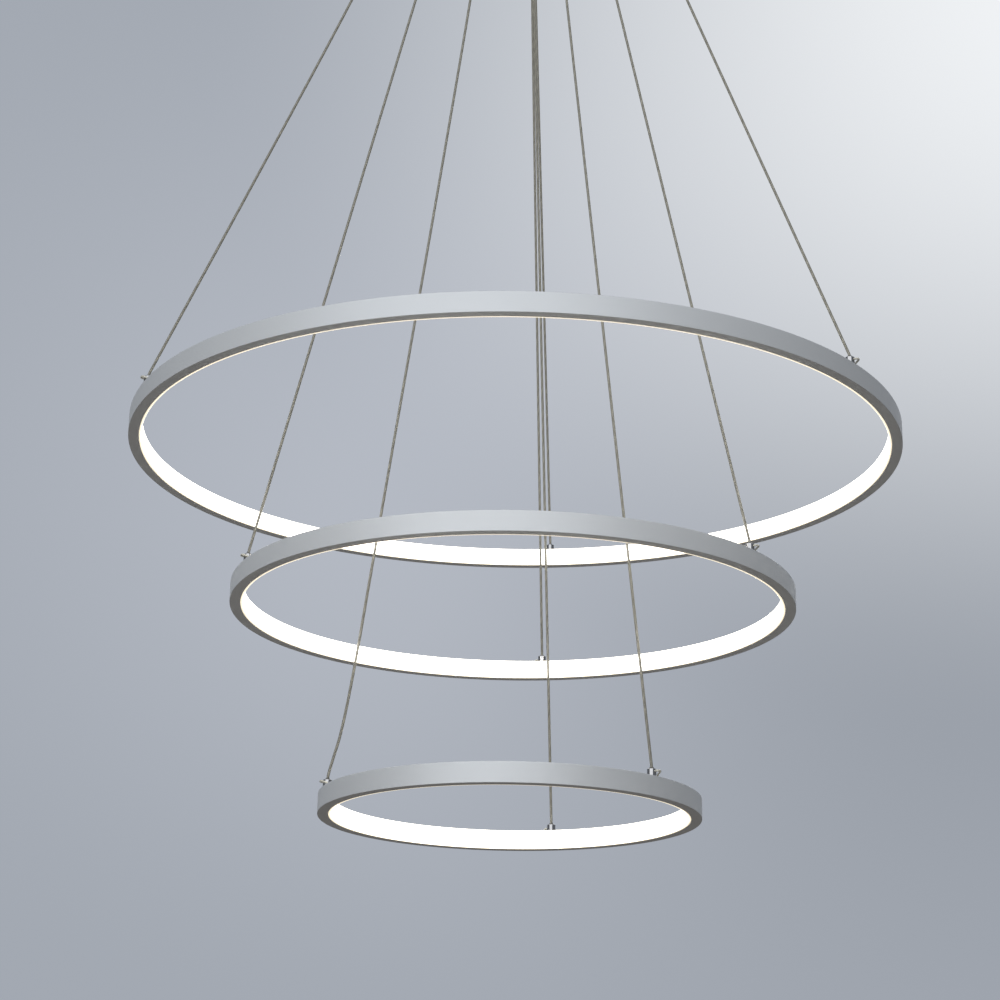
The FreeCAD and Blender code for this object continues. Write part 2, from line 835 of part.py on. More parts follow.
def driver_board(side, low_y, floor):
    """Board on the tub's floor, with its transformer and two capacitors."""
    margin = cell("driver_wall") + cell("board_margin")
    long = cell("driver_length") - margin * 2
    wide = cell("driver_width") - margin * 2
    thick = cell("board_wall")
    y = low_y + margin
    plate = block(f"{side}_board_plate", long, wide, thick, long / -2, y, floor)
    seat = floor + thick
    core_long = cell("transformer_length")
    core_wide = cell("transformer_width")
    place = (core_long / -2, y + (wide - core_wide) / 2, seat)
    core = block(f"{side}_transformer", core_long, core_wide, cell("transformer_height"), *place)
    pieces = [plate, core]
    for end in (-1, 1):
        x = cell("capacitor_offset") * end
        can = (f"{side}_capacitor_{end + 1}", cell("capacitor_diameter"), cell("capacitor_height"))
        pieces.append(rod(*can, x, y + wide / 2, seat))
    return fused(f"{side}_board", pieces)


def drivers():
    """Two constant-voltage drivers: tub, lid and board each."""
    long = cell("driver_length")
    wide = cell("driver_width")
    wall = cell("driver_wall")
    tall = cell("driver_height")
    left = long / -2
    floor = -PLATE - tall
    cases = []
    lids = []
    boards = []
    for side, low_y in (("back", DRIVER_FACE), ("front", -DRIVER_FACE - wide)):
        tub = block(f"{side}_tub", long, wide, tall - wall, left, low_y, floor)
        room = (long - wall * 2, wide - wall * 2, tall)
        corner = (left + wall, low_y + wall, floor + wall)
        inside = block(f"{side}_cavity", *room, *corner)
        cases.append(cut(f"{side}_case", tub, [inside]))
        lids.append(block(f"{side}_lid", long, wide, wall, left, low_y, -PLATE - wall))
        boards.append(driver_board(side, low_y, floor + wall))
    group("driver_cases", cases)
    group("driver_lids", lids)
    group("driver_boards", boards)


BLOCK_FLOOR = -PLATE - cell("block_height")


def terminal_block():
    long = cell("block_length")
    wide = cell("block_width")
    tall = cell("block_height")
    low_y = cell("block_middle") - wide / 2
    body = block("block_body", long, wide, tall, -long / 2, low_y, BLOCK_FLOOR)
    head = cell("block_screw_head")
    rise = cell("block_screw_rise")
    poles = int(cell("block_poles").value)
    wells = []
    screws = []
    for index in range(poles):
        x = long * ((index + 0.5) / poles - 0.5)
        for row in (-0.28, 0.28):
            y = cell("block_middle") + wide * row
            well = (f"block_well_{index}", cell("block_well"), rise * 2)
            wells.append(rod(*well, x, y, BLOCK_FLOOR - rise))
            seat = BLOCK_FLOOR + FIT * 5
            screws.append(rod(f"block_screw_{index}", head, rise - FIT * 5, x, y, seat))
    cut("terminal_block", body, wells)
    group("terminal_screws", screws)


def earth_screw():
    """Screw and tag washer under the plate."""
    x = -cell("earth_side")
    y = -cell("earth_offset")
    tag_wall = EARTH_TAG_WALL
    tag_blank = rod("earth_tag_blank", cell("earth_tag"), tag_wall, x, y, -PLATE - tag_wall)
    below = -PLATE - tag_wall * 2
    hole = rod("earth_tag_hole", EARTH_SHANK + FIT * 2, tag_wall * 3, x, y, below)
    tag = cut("earth_tag", tag_blank, [hole])
    rise = cell("earth_head_rise")
    section = [
        (ZERO, ZERO),
        (cell("earth_head") / 2 - FIT * 5, ZERO),
        (cell("earth_head") / 2, FIT * 5),
        (cell("earth_head") / 2, rise),
        (EARTH_SHANK / 2, rise),
        (EARTH_SHANK / 2, rise + tag_wall + PLATE),
        (ZERO, rise + tag_wall + PLATE),
    ]
    screw = turned("earth_screw_body", section, x, y, -PLATE - tag_wall - rise)
    group("earth_screw", [tag, screw])


def mains_leads():
    """Two leads from the terminal block to each driver, and one to the earth screw."""
    wide = cell("mains_lead_diameter")
    level = -cell("mains_lead_drop")
    back = cell("block_middle") + cell("block_width") / 2
    front = cell("block_middle") - cell("block_width") / 2
    forward = FreeCAD.Rotation(FreeCAD.Vector(1, 0, 0), -90)
    leads = []
    for index in (1, 2):
        x = cell("mains_lead_pitch") * index
        to_back = (f"back_lead_{index}", wide, DRIVER_FACE - back)
        leads.append(rod(*to_back, -x, back, level, forward))
        to_front = (f"front_lead_{index}", wide, front + DRIVER_FACE)
        leads.append(rod(*to_front, x, -DRIVER_FACE, level, forward))
    x = -cell("earth_side").value
    tag_middle = cell("earth_tag") * 0.4
    tag_edge = (cell("earth_offset") - tag_middle).value
    tag_face = -(PLATE + EARTH_TAG_WALL).value
    corners = [(x, front.value, level.value), (x, -tag_edge, level.value), (x, -tag_edge, tag_face)]
    leads.append(tube("earth_lead", corners, wide))
    group("mains_leads", leads)


# Share of their distance from the middle at which the near leads reach the front driver.
FEED_GATHER = 0.7


def feed_leads():
    """One lead from the top of each gripper to the nearer driver, square to its face."""
    face = DRIVER_FACE.value
    start = (CANOPY_FLOOR + cell("gripper_stub_length")).value
    leads = []
    for tier, ring in enumerate(CABLE_ROUTES):
        level = -cell("feed_lead_drop").value + tier * cell("feed_lead_step").value
        for name, side, x, y in gripper_places():
            if name != ring:
                continue
            corners = [(x.value, y.value, start), (x.value, y.value, level)]
            if side == "far":
                corners.append((x.value, face, level))
            else:
                end_x = x.value * FEED_GATHER
                corners.append((end_x, -face + cell("feed_lead_end").value, level))
                corners.append((end_x, -face, level))
            leads.append(tube(f"{ring}_{side}_feed", corners, LEAD))
    group("feed_leads", leads)


def build_canopy():
    ceiling_plate()
    canopy_cover()
    cover_screws()
    mains_grommet()
    places = list(gripper_places())
    group("gripper_bodies", [gripper_body(*place) for place in places])
    group("gripper_nuts", [gripper_nut(*place) for place in places])
    for place in places:
        plunger(*place)
    drivers()
    terminal_block()
    earth_screw()
    mains_leads()
    feed_leads()


# ---------------------------------------------------------------- build and write

build_canopy()
for ring_name in CABLE_ROUTES:
    build_ring(ring_name)
doc.recompute()

RING_NODES = (
    "ring_profile", "ring_diffuser", "led_strip", "leds", "splice",
    "ring_clamps", "ring_clamp_nuts", "ring_nozzles", "ring_cable_tails",
)
NODES = [
    "ceiling_plate", "canopy_cover", "cover_screws", "mains_grommet", "gripper_bodies",
    "gripper_nuts", "driver_cases", "driver_lids", "driver_boards", "terminal_block",
    "terminal_screws", "earth_screw", "mains_leads", "feed_leads",
]
for ring_name in CABLE_ROUTES:
    NODES += [f"{ring_name}_{node}" for node in RING_NODES]
    for side_name in SIDES:
        NODES += [f"{ring_name}_{side_name}_plunger", f"{ring_name}_{side_name}_cable"]

for item in doc.Objects:
    if "Invalid" in item.State or "Error" in item.State:
        raise RuntimeError(f"{item.Name} failed: {item.State}")
for node in NODES:
    shape = doc.getObject(node).Shape
    if shape.isNull() or not shape.isValid() or not shape.Solids:
        raise RuntimeError(f"{node} has no valid solid")
for node in NODES:
    item = doc.getObject(node)
    item.Label = node
    item.Shape.exportStep(f"parts/{node}.step")
print(f"{len(NODES)} sub-parts written")
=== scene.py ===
"""A three-ring pendant light: its looks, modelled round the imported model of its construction.

Lengths are in metres. The origin is on the ceiling, in the middle of the canopy, +Z points
up and -Y faces the viewer. The three rings are named large, middle and small, and each
ring's three cables far, left and right, as the viewer sees them.
"""

import math

import bmesh
import bpy
from bpy.props import FloatProperty, FloatVectorProperty, IntProperty, PointerProperty
from mathutils import Matrix, Vector


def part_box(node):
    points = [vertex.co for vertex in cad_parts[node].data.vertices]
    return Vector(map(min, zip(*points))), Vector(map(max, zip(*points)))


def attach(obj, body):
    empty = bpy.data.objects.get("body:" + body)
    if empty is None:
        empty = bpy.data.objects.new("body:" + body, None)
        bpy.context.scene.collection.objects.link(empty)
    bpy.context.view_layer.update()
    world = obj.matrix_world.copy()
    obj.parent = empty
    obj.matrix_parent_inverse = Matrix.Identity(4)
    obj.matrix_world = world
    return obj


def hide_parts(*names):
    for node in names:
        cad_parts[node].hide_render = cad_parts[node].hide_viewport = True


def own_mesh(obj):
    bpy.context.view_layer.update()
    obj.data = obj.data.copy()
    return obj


bl_info = {
    "name": "Ring Pendant Light",
    "version": (1, 0, 0),
    "blender": (4, 5, 0),
    "location": "View3D > Sidebar > Ring Pendant",
    "description": "Models and finishes a pendant light of three lit rings on thin cables",
    "category": "Object",
}

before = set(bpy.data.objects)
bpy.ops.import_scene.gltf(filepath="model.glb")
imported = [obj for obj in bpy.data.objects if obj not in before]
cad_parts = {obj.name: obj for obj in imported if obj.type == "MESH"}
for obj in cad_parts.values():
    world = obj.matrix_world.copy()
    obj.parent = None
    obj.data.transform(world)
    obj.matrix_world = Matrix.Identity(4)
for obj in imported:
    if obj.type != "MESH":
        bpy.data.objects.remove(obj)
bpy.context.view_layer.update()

MM = 0.001
UP = Vector((0, 0, 1))
RINGS = ("large", "middle", "small")
SIDES = {"far": 0.0, "left": 120.0, "right": 240.0}  # degrees on from the far cable
SEAM_TURN = 60.0  # degrees from the far cable to the seam
SCREW_AZIMUTHS = (30.0, 150.0, 270.0)  # degrees, of the canopy's side screws

FACETS_PER_METRE = 900  # facets round a ring, for each metre of its radius
COVER_FACETS = 240
SHANK_FACETS = 24
DRILL_FACETS = 32
FLOOR_FACETS = 96
ROUNDING_SEGMENTS = 3
SHARP_ANGLE = 35  # degrees between two faces, from which their edge looks sharp

# Control points of the cables in the upright plane at each cable's azimuth, as distance from
# the axis and height, in millimetres. A cable leaves its gripper straight down, runs taut to
# its ring and turns upright to enter the clamp.
CABLE_ROUTES = {
    "large": [(66.0, -34.0), (66.0, -80.0), (83.2, -122.7),
              (392.7, -896.3), (394.6, -901.0), (394.6, -906.0)],
    "middle": [(45.0, -34.0), (45.0, -80.0), (55.8, -124.7),
               (281.4, -1063.1), (282.6, -1068.0), (282.6, -1073.0)],
    "small": [(24.0, -34.0), (24.0, -80.0), (30.2, -125.6),
              (184.9, -1274.0), (185.6, -1279.0), (185.6, -1284.0)],
}

# Two cables bow a little towards the axis, as new cable does.
BOWED_ROUTES = {
    ("large", "left"): [(66.0, -34.0), (66.0, -80.0), (107.0, -200.0), (197.0, -430.0),
                        (295.0, -665.0), (392.7, -896.3), (394.6, -901.0), (394.6, -906.0)],
    ("small", "left"): [(24.0, -34.0), (24.0, -80.0), (50.0, -330.0), (92.5, -650.0),
                        (140.5, -1000.0), (169.5, -1218.0), (184.0, -1271.0),
                        (185.6, -1279.0), (185.6, -1284.0)],
}


# ------------------------------------------------------------------ sizes and colours


def length_property(name, description, default):
    return FloatProperty(name=name, description=description, default=default, unit="LENGTH")


def angle_property(name, description, default):
    return FloatProperty(name=name, description=description, default=default, subtype="ANGLE")


def colour_property(name, description, default):
    return FloatVectorProperty(
        name=name, description=description, default=default, subtype="COLOR", min=0, max=1)


class RingSizes(bpy.types.PropertyGroup):
    """The three rings and their diffusers."""

    large_diameter: length_property("Large ring", "Outside diameter of the large ring", 0.800)
    middle_diameter: length_property("Middle ring", "Outside diameter of the middle ring", 0.576)
    small_diameter: length_property("Small ring", "Outside diameter of the small ring", 0.382)
    large_azimuth: angle_property(
        "Large ring's turn", "Azimuth of the large ring's far cable", math.radians(83.5))
    middle_azimuth: angle_property(
        "Middle ring's turn", "Azimuth of the middle ring's far cable", math.radians(83.0))
    small_azimuth: angle_property(
        "Small ring's turn", "Azimuth of the small ring's far cable", math.radians(76.0))
    depth: length_property("Channel depth", "Radial depth of the aluminium channel", 10.8 * MM)
    height: length_property("Channel height", "Height of the aluminium channel", 20 * MM)
    wall: length_property("Channel wall", "Wall thickness of the channel", 1.2 * MM)
    edge_round: length_property(
        "Edge rounding", "Rounding of the channel's outer edges", 0.45 * MM)
    lip_round: length_property(
        "Lip rounding", "Rounding of the channel's lips and inner corners", 0.2 * MM)
    seam_gap: length_property("Seam", "Width of the butt seam where the channel closes", 0.2 * MM)
    proud: length_property(
        "Diffuser stand-out", "How far the diffuser stands out of the channel", 2.4 * MM)
    inset: length_property(
        "Diffuser inset", "Step from the channel's faces to the diffuser's", 0.2 * MM)
    crown: length_property("Diffuser crown", "Rounding of the diffuser's front edges", 0.6 * MM)
    leg: length_property(
        "Diffuser leg", "Length of the legs that clip into the channel", 1.6 * MM)
    leg_wall: length_property("Leg thickness", "Thickness of the diffuser's legs", 1.0 * MM)
    fit: length_property("Fit gap", "Gap between pieces that fit together", 0.1 * MM)


class FittingSizes(bpy.types.PropertyGroup):
    """Cables, and the small turned pieces at their two ends."""

    cable_diameter: length_property("Cable", "Outside diameter of the cable's jacket", 2.8 * MM)
    bore: length_property("Cable bore", "Bore that a cable passes through", 3.2 * MM)
    bore_depth: length_property(
        "Cable bore depth", "Depth of the bore in a clamp's top", 3.0 * MM)
    lead_bore: length_property(
        "Lead bore", "Bore that a cable's thinner tail passes through", 2.4 * MM)
    clamp_diameter: length_property(
        "Clamp diameter", "Diameter of a cable clamp on a ring", 9.0 * MM)
    clamp_height: length_property(
        "Clamp height", "Height of a cable clamp above its ring", 7.0 * MM)
    clamp_round: length_property(
        "Clamp rounding", "Rounding of the clamps' and grippers' edges", 0.5 * MM)
    stud_diameter: length_property("Clamp stud", "Diameter of the stud below a clamp", 4.0 * MM)
    stud_length: length_property("Stud length", "Length of the stud below a clamp", 4.4 * MM)
    tail_height: length_property(
        "Tail height", "Height above the ring at which a tail leaves its clamp", 4.6 * MM)
    tail_bore_depth: length_property(
        "Tail bore depth", "Depth of the bore in a clamp's side", 2.5 * MM)
    tail_offset: length_property(
        "Tail offset", "Distance along the ring from a clamp to its tail's hole", 8.0 * MM)
    nozzle_diameter: length_property(
        "Nozzle diameter", "Diameter of the sleeve on top of a clamp", 4.4 * MM)
    nozzle_height: length_property(
        "Nozzle height", "Height of the sleeve on top of a clamp", 1.5 * MM)
    turned_steps: IntProperty(
        name="Facets of turned pieces", description="Number of facets round a small piece",
        default=64, min=12)


class CanopySizes(bpy.types.PropertyGroup):
    """The ceiling canopy, its screws and the cable grippers in its floor."""

    diameter: length_property("Canopy diameter", "Outside diameter of the canopy's cover", 0.250)
    wall: length_property("Cover wall", "Thickness of the drawn cover", 1.0 * MM)
    bend: length_property("Cover bend", "Radius of the cover's lower edge", 4.0 * MM)
    gripper_diameter: length_property(
        "Gripper diameter", "Diameter of a gripper below the canopy", 10.0 * MM)
    gripper_drop: length_property(
        "Gripper drop", "How far a gripper stands below the canopy", 11.5 * MM)
    stub_diameter: length_property(
        "Gripper stub", "Diameter of a gripper's threaded stub", 8.0 * MM)
    stub_length: length_property("Stub length", "Length of a gripper's threaded stub", 11.0 * MM)
    chamber_diameter: length_property(
        "Gripper chamber", "Bore that the release plunger slides in", 5.2 * MM)
    chamber_depth: length_property("Chamber depth", "Depth of that bore", 8.0 * MM)
    plunger_diameter: length_property(
        "Plunger stem", "Diameter of a release plunger's stem", 4.6 * MM)
    plunger_collar: length_property(
        "Plunger collar", "Diameter of a release plunger's collar", 7.0 * MM)
    plunger_collar_height: length_property(
        "Collar height", "Height of a release plunger's collar", 1.5 * MM)
    screw_drop: length_property(
        "Side screw drop", "Height of the side screws below the ceiling", 12.0 * MM)
    screw_shank: length_property("Side screw shank", "Diameter of a side screw's shank", 4.0 * MM)
    screw_length: length_property("Side screw length", "Length of a side screw's shank", 5.0 * MM)
    screw_head: length_property(
        "Side screw head", "Diameter of a side screw's knurled head", 9.0 * MM)
    screw_grip: length_property(
        "Side screw grip", "Length of a side screw's knurled head", 6.0 * MM)
    knurls: IntProperty(
        name="Knurls", description="Number of ridges round a side screw's head",
        default=30, min=8)


class Finishes(bpy.types.PropertyGroup):
    """Colours of the materials."""

    paint: colour_property(
        "Paint", "Satin silver paint of the rings and the canopy", (0.66, 0.695, 0.73))
    glow: colour_property(
        "Light", "Colour of the light that leaves the diffusers", (1.0, 0.95, 0.86))
    glow_strength: FloatProperty(
        name="Light strength", description="Brightness of a diffuser's front face",
        default=4.5, min=0)
    lip_glow: colour_property(
        "Edge light", "Colour of the light at a diffuser's edges", (1.0, 0.87, 0.64))
    lip_strength: FloatProperty(
        name="Edge strength", description="Brightness of a diffuser's upper and lower edges",
        default=1.05, min=0)
    # Painted shade and painted light: a cable's colour runs from the darker of these two in the
    # hollows between its twisted cores to the lighter one on their crests.
    strand_painted_shade: colour_property(
        "Cores, dark", "Hollows between the twisted cores of a cable", (0.25, 0.245, 0.21))
    strand_painted_light: colour_property(
        "Cores, light", "Crests of the twisted cores of a cable", (0.34, 0.33, 0.28))
    jacket: colour_property(
        "Jacket", "Clear jacket where a cable bends into a ring", (0.58, 0.57, 0.50))


class StageSettings(bpy.types.PropertyGroup):
    """Camera, floor, backdrop and lights."""

    camera_distance: length_property(
        "Camera distance", "Camera's distance from the light's axis", 2.2627)
    camera_drop: length_property("Camera drop", "Camera's height below the ceiling", 1.7114)
    camera_pitch: angle_property("Camera pitch", "How far the camera looks up", 0.3150)
    camera_yaw: angle_property("Camera yaw", "How far the camera looks to the right", -0.0065)
    camera_roll: angle_property("Camera roll", "Camera's turn about its line of sight", 0.0165)
    focal_length: FloatProperty(
        name="Focal length", description="Lens on a 36 mm wide sensor, in millimetres",
        default=82.4)
    floor_drop: length_property("Floor", "The floor's depth below the ceiling", 2.9)
    floor_radius: length_property("Floor radius", "Radius of the round floor", 9.0)
    floor_colour: colour_property("Floor colour", "Plain pale floor", (0.57, 0.53, 0.48))
    floor_bounce: colour_property(
        "Floor bounce", "The floor as it lights the undersides", (0.145, 0.115, 0.085))
    room: colour_property(
        "Room", "The room at the sides of the backdrop and opposite it", (0.20, 0.21, 0.225))
    backdrop_dim: colour_property(
        "Backdrop, dim", "Backdrop away from its bright patch", (0.365, 0.395, 0.445))
    backdrop_dusk: colour_property(
        "Backdrop, dusk", "Backdrop in the middle of its darker patch", (0.325, 0.352, 0.398))
    backdrop_haze: colour_property(
        "Backdrop, haze", "Backdrop in the middle of its faint haze", (0.475, 0.505, 0.565))
    backdrop_bright: colour_property(
        "Backdrop, bright", "Middle of the backdrop's bright patch", (0.90, 0.92, 0.94))
    ambient: colour_property("Ambient", "Even light from all round", (0.95, 0.97, 1.0))
    ambient_strength: FloatProperty(
        name="Ambient strength", description="Strength of the even light",
        default=0.27, min=0)
    key_power: FloatProperty(
        name="Key power", description="Power of the soft light behind the camera, in watts",
        default=127.0, min=0)
    key_size: length_property("Key size", "Diameter of the soft light behind the camera", 6.0)
    fill_power: FloatProperty(
        name="Fill power", description="Power of the soft light behind the rings, in watts",
        default=18.0, min=0)
    fill_size: length_property("Fill size", "Diameter of the soft light behind the rings", 3.0)


class PendantSettings(bpy.types.PropertyGroup):
    """Everything that a user can change."""

    rings: PointerProperty(type=RingSizes)
    fittings: PointerProperty(type=FittingSizes)
    canopy: PointerProperty(type=CanopySizes)
    finishes: PointerProperty(type=Finishes)
    stage: PointerProperty(type=StageSettings)


def settings():
    return bpy.context.scene.ring_pendant


# ------------------------------------------------------------------ places


def ring_radius(ring):
    return getattr(settings().rings, f"{ring}_diameter") / 2


def ring_floor(ring):
    """Height of the ring's underside."""
    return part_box(f"{ring}_ring_profile")[0].z


def azimuth(ring, side):
    return getattr(settings().rings, f"{ring}_azimuth") + math.radians(SIDES[side])


def polar(distance, angle, height=0.0):
    return Vector((distance * math.cos(angle), distance * math.sin(angle), height))


def clamp_circle(ring):
    return ring_radius(ring) - settings().rings.depth / 2


def clamp_places(ring):
    """Azimuth and foot of each clamp on the ring."""
    top = ring_floor(ring) + settings().rings.height
    for side in SIDES:
        angle = azimuth(ring, side)
        yield angle, polar(clamp_circle(ring), angle, top)


def gripper_places():
    """Ring, side and plan position of each gripper."""
    for ring in RINGS:
        distance = CABLE_ROUTES[ring][0][0] * MM
        for side in SIDES:
            yield ring, side, polar(distance, azimuth(ring, side))


def seam_azimuth(ring):
    return azimuth(ring, "far") + math.radians(SEAM_TURN)


# ------------------------------------------------------------------ mesh building


def section_face(bm, section):
    """A flat section in the XZ plane, its corners (radius, height, rounding), rounded."""
    corners = [bm.verts.new((radius, 0, height)) for radius, height, _ in section]
    face = bm.faces.new(corners)
    for rounding in sorted({r for _, _, r in section if r}):
        sharp = [v for v, (_, _, r) in zip(corners, section) if r == rounding]
        made = bmesh.ops.bevel(
            bm, geom=sharp, offset=rounding, offset_type="OFFSET", segments=ROUNDING_SEGMENTS,
            profile=0.5, affect="VERTICES", material=-1)
        face = next(f for f in made["verts"][0].link_faces)
    return face


def spin_section(bm, section, steps, start=0.0, sweep=math.tau):
    """Spins the section about Z. A full turn closes on itself, a part turn has end caps."""
    face = section_face(bm, section)
    verts = list(face.verts)
    edges = list(face.edges)
    bmesh.ops.rotate(bm, verts=verts, cent=(0, 0, 0), matrix=Matrix.Rotation(start, 3, "Z"))
    full = math.isclose(sweep, math.tau)
    if full:
        bmesh.ops.delete(bm, geom=[face], context="FACES_ONLY")
        geom = verts + edges
    else:
        geom = [face]
    bmesh.ops.spin(
        bm, geom=geom, cent=(0, 0, 0), axis=UP, angle=sweep, steps=steps,
        use_duplicate=False, use_merge=full)
    bmesh.ops.remove_doubles(bm, verts=bm.verts, dist=1e-6)
    bmesh.ops.dissolve_degenerate(bm, edges=bm.edges, dist=1e-7)


def turned_solid(section, steps, matrix=Matrix.Identity(4), **turn):
    """A bmesh of a turned solid, moved to its place."""
    bm = bmesh.new()
    spin_section(bm, section, steps, **turn)
    bmesh.ops.recalc_face_normals(bm, faces=bm.faces)
    bmesh.ops.transform(bm, matrix=matrix, verts=bm.verts)
    return bm


def joined(parts):
    """One bmesh from several."""
    whole = bmesh.new()
    for part in parts:
        mesh = bpy.data.meshes.new("part")
        part.to_mesh(mesh)
        part.free()
        whole.from_mesh(mesh)
        bpy.data.meshes.remove(mesh)
    return whole


def new_object(name, mesh):
    item = bpy.data.objects.new(name, mesh)
    bpy.context.scene.collection.objects.link(item)
    return item


def finished(name, bm, material, body, replaces):
    """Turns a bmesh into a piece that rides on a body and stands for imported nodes."""
    mesh = bpy.data.meshes.new(name)
    bm.to_mesh(mesh)
    bm.free()
    mesh.shade_smooth()
    mesh.set_sharp_from_angle(angle=math.radians(SHARP_ANGLE))
    mesh.materials.append(material)
    item = new_object(name, mesh)
    weighted = item.modifiers.new("even_shading", "WEIGHTED_NORMAL")
    weighted.keep_sharp = True
    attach(item, body)
    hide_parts(*replaces)


def drilled(bm, drills):
    """Cuts round holes out of a bmesh: each drill is (diameter, depth, matrix)."""
    mesh = bpy.data.meshes.new("blank")
    bm.to_mesh(mesh)
    bm.free()
    blank = new_object("blank", mesh)
    tools = []
    for diameter, depth, matrix in drills:
        tool = bmesh.new()
        bmesh.ops.create_cone(
            tool, cap_ends=True, segments=DRILL_FACETS, radius1=diameter / 2,
            radius2=diameter / 2, depth=depth, matrix=matrix)
        tools.append(tool)
    cutter_mesh = bpy.data.meshes.new("cutter")
    cutters = joined(tools)
    cutters.to_mesh(cutter_mesh)
    cutters.free()
    cutter = new_object("cutter", cutter_mesh)
    cut = blank.modifiers.new("holes", "BOOLEAN")
    cut.object = cutter
    cut.operation = "DIFFERENCE"
    cut.solver = "EXACT"
    graph = bpy.context.evaluated_depsgraph_get()
    result = bmesh.new()
    result.from_mesh(blank.evaluated_get(graph).to_mesh())
    for item in (blank, cutter):
        data = item.data
        bpy.data.objects.remove(item)
        bpy.data.meshes.remove(data)
    return result


def at(place, turn=Matrix.Identity(4)):
    return Matrix.Translation(place) @ turn


def outward(angle):
    """Turns what is made along +Z so that it points outwards at that azimuth."""
    return Matrix.Rotation(angle, 4, "Z") @ Matrix.Rotation(math.pi / 2, 4, "Y")


# ------------------------------------------------------------------ material building


class Finish:
    """A node material: its nodes, its links and its surface shader."""

    def __init__(self, name):
        self.material = bpy.data.materials.new(name)
        self.material.use_nodes = True
        self.tree = self.material.node_tree
        self.shader = self.tree.nodes["Principled BSDF"]
        self.coordinates = self.add("ShaderNodeTexCoord")

    def add(self, kind, **values):
        node = self.tree.nodes.new(kind)
        for key, value in values.items():
            setattr(node, key, value)
        return node

    def link(self, source, target):
        self.tree.links.new(source, target)

    def set(self, **values):
        for key, value in values.items():
            socket = self.shader.inputs[key.replace("_", " ")]
            if socket.type == "RGBA":
                value = (*value, 1.0)
            socket.default_value = value
        return self

    def math(self, operation, first, second=None, clamp=False):
        node = self.add("ShaderNodeMath", operation=operation, use_clamp=clamp)
        for socket, value in zip(node.inputs, (first, second)):
            if isinstance(value, (int, float)):
                socket.default_value = value
            elif value is not None:
                self.link(value, socket)
        return node.outputs[0]

    def noise(self, scale, detail=3.0, roughness=0.5, vector=None):
        node = self.add("ShaderNodeTexNoise")
        node.inputs["Scale"].default_value = scale
        node.inputs["Detail"].default_value = detail
        node.inputs["Roughness"].default_value = roughness
        self.link(vector or self.coordinates.outputs["Object"], node.inputs["Vector"])
        return node.outputs["Fac"]

    def mixed(self, factor, first, second):
        """A colour between two, by a factor from a texture."""
        node = self.add("ShaderNodeMix", data_type="RGBA")
        self.link(factor, node.inputs["Factor"])
        colours = [socket for socket in node.inputs if socket.type == "RGBA"]
        for socket, colour in zip(colours, (first, second)):
            if isinstance(colour, bpy.types.NodeSocket):
                self.link(colour, socket)
            else:
                socket.default_value = (*colour, 1.0)
        return next(socket for socket in node.outputs if socket.type == "RGBA")

    def spread(self, factor, low, high):
        """Maps a texture's 0 to 1 onto low to high."""
        node = self.add("ShaderNodeMapRange")
        self.link(factor, node.inputs["Value"])
        node.inputs["To Min"].default_value = low
        node.inputs["To Max"].default_value = high
        return node.outputs["Result"]

    def bump(self, height, strength, distance):
        node = self.add("ShaderNodeBump")
        node.inputs["Strength"].default_value = strength
        node.inputs["Distance"].default_value = distance
        self.link(height, node.inputs["Height"])
        self.link(node.outputs["Normal"], self.shader.inputs["Normal"])

    def colour(self, output):
        self.link(output, self.shader.inputs["Base Color"])


def tinted(colour, factor):
    return tuple(min(1.0, channel * factor) for channel in colour)


def satin_paint():
    """Satin silver paint: fine metal flake, a trace of orange peel, a little unevenness."""
    finish = Finish("satin_silver_paint").set(Metallic=0.3, IOR=1.5)
    paint = tuple(settings().finishes.paint)
    flake = finish.noise(5200.0, detail=1.0)
    cloud = finish.noise(9.0, detail=4.0)
    shade = finish.mixed(flake, tinted(paint, 0.93), tinted(paint, 1.06))
    finish.colour(finish.mixed(cloud, shade, paint))
    finish.link(finish.spread(finish.noise(60.0), 0.50, 0.58), finish.shader.inputs["Roughness"])
    finish.bump(finish.noise(350.0, detail=1.0), 0.05, 0.03 * MM)
    return finish.material


def opal_glow():
    """Opal diffuser, lit from behind: full strength out of its front, less out of its edges.
    Its back gives no light, so that none comes out through the channel's seam."""
    look = settings().finishes
    finish = Finish("lit_opal_diffuser").set(Base_Color=(0.86, 0.85, 0.82), Roughness=0.45)
    parts = finish.add("ShaderNodeSeparateXYZ")
    finish.link(finish.coordinates.outputs["Normal"], parts.inputs[0])
    edge = finish.math("ABSOLUTE", parts.outputs["Z"])
    mottle = finish.spread(finish.noise(45.0, detail=2.0), 0.97, 1.03)
    strength = finish.spread(edge, look.glow_strength, look.lip_strength)
    away = finish.add("ShaderNodeVectorMath", operation="MULTIPLY")
    away.inputs[1].default_value = (1.0, 1.0, 0.0)
    finish.link(finish.coordinates.outputs["Object"], away.inputs[0])
    facing = finish.add("ShaderNodeVectorMath", operation="DOT_PRODUCT")
    finish.link(away.outputs["Vector"], facing.inputs[0])
    finish.link(finish.coordinates.outputs["Normal"], facing.inputs[1])
    edge_on = 0.05  # metres from the axis along a face's normal, which only the back exceeds
    lit = finish.math("LESS_THAN", facing.outputs["Value"], edge_on)
    strength = finish.math("MULTIPLY", strength, lit)
    strength = finish.math("MULTIPLY", strength, mottle)
    finish.link(strength, finish.shader.inputs["Emission Strength"])
    warm = finish.mixed(edge, tuple(look.glow), tuple(look.lip_glow))
    finish.link(warm, finish.shader.inputs["Emission Color"])
    return finish.material


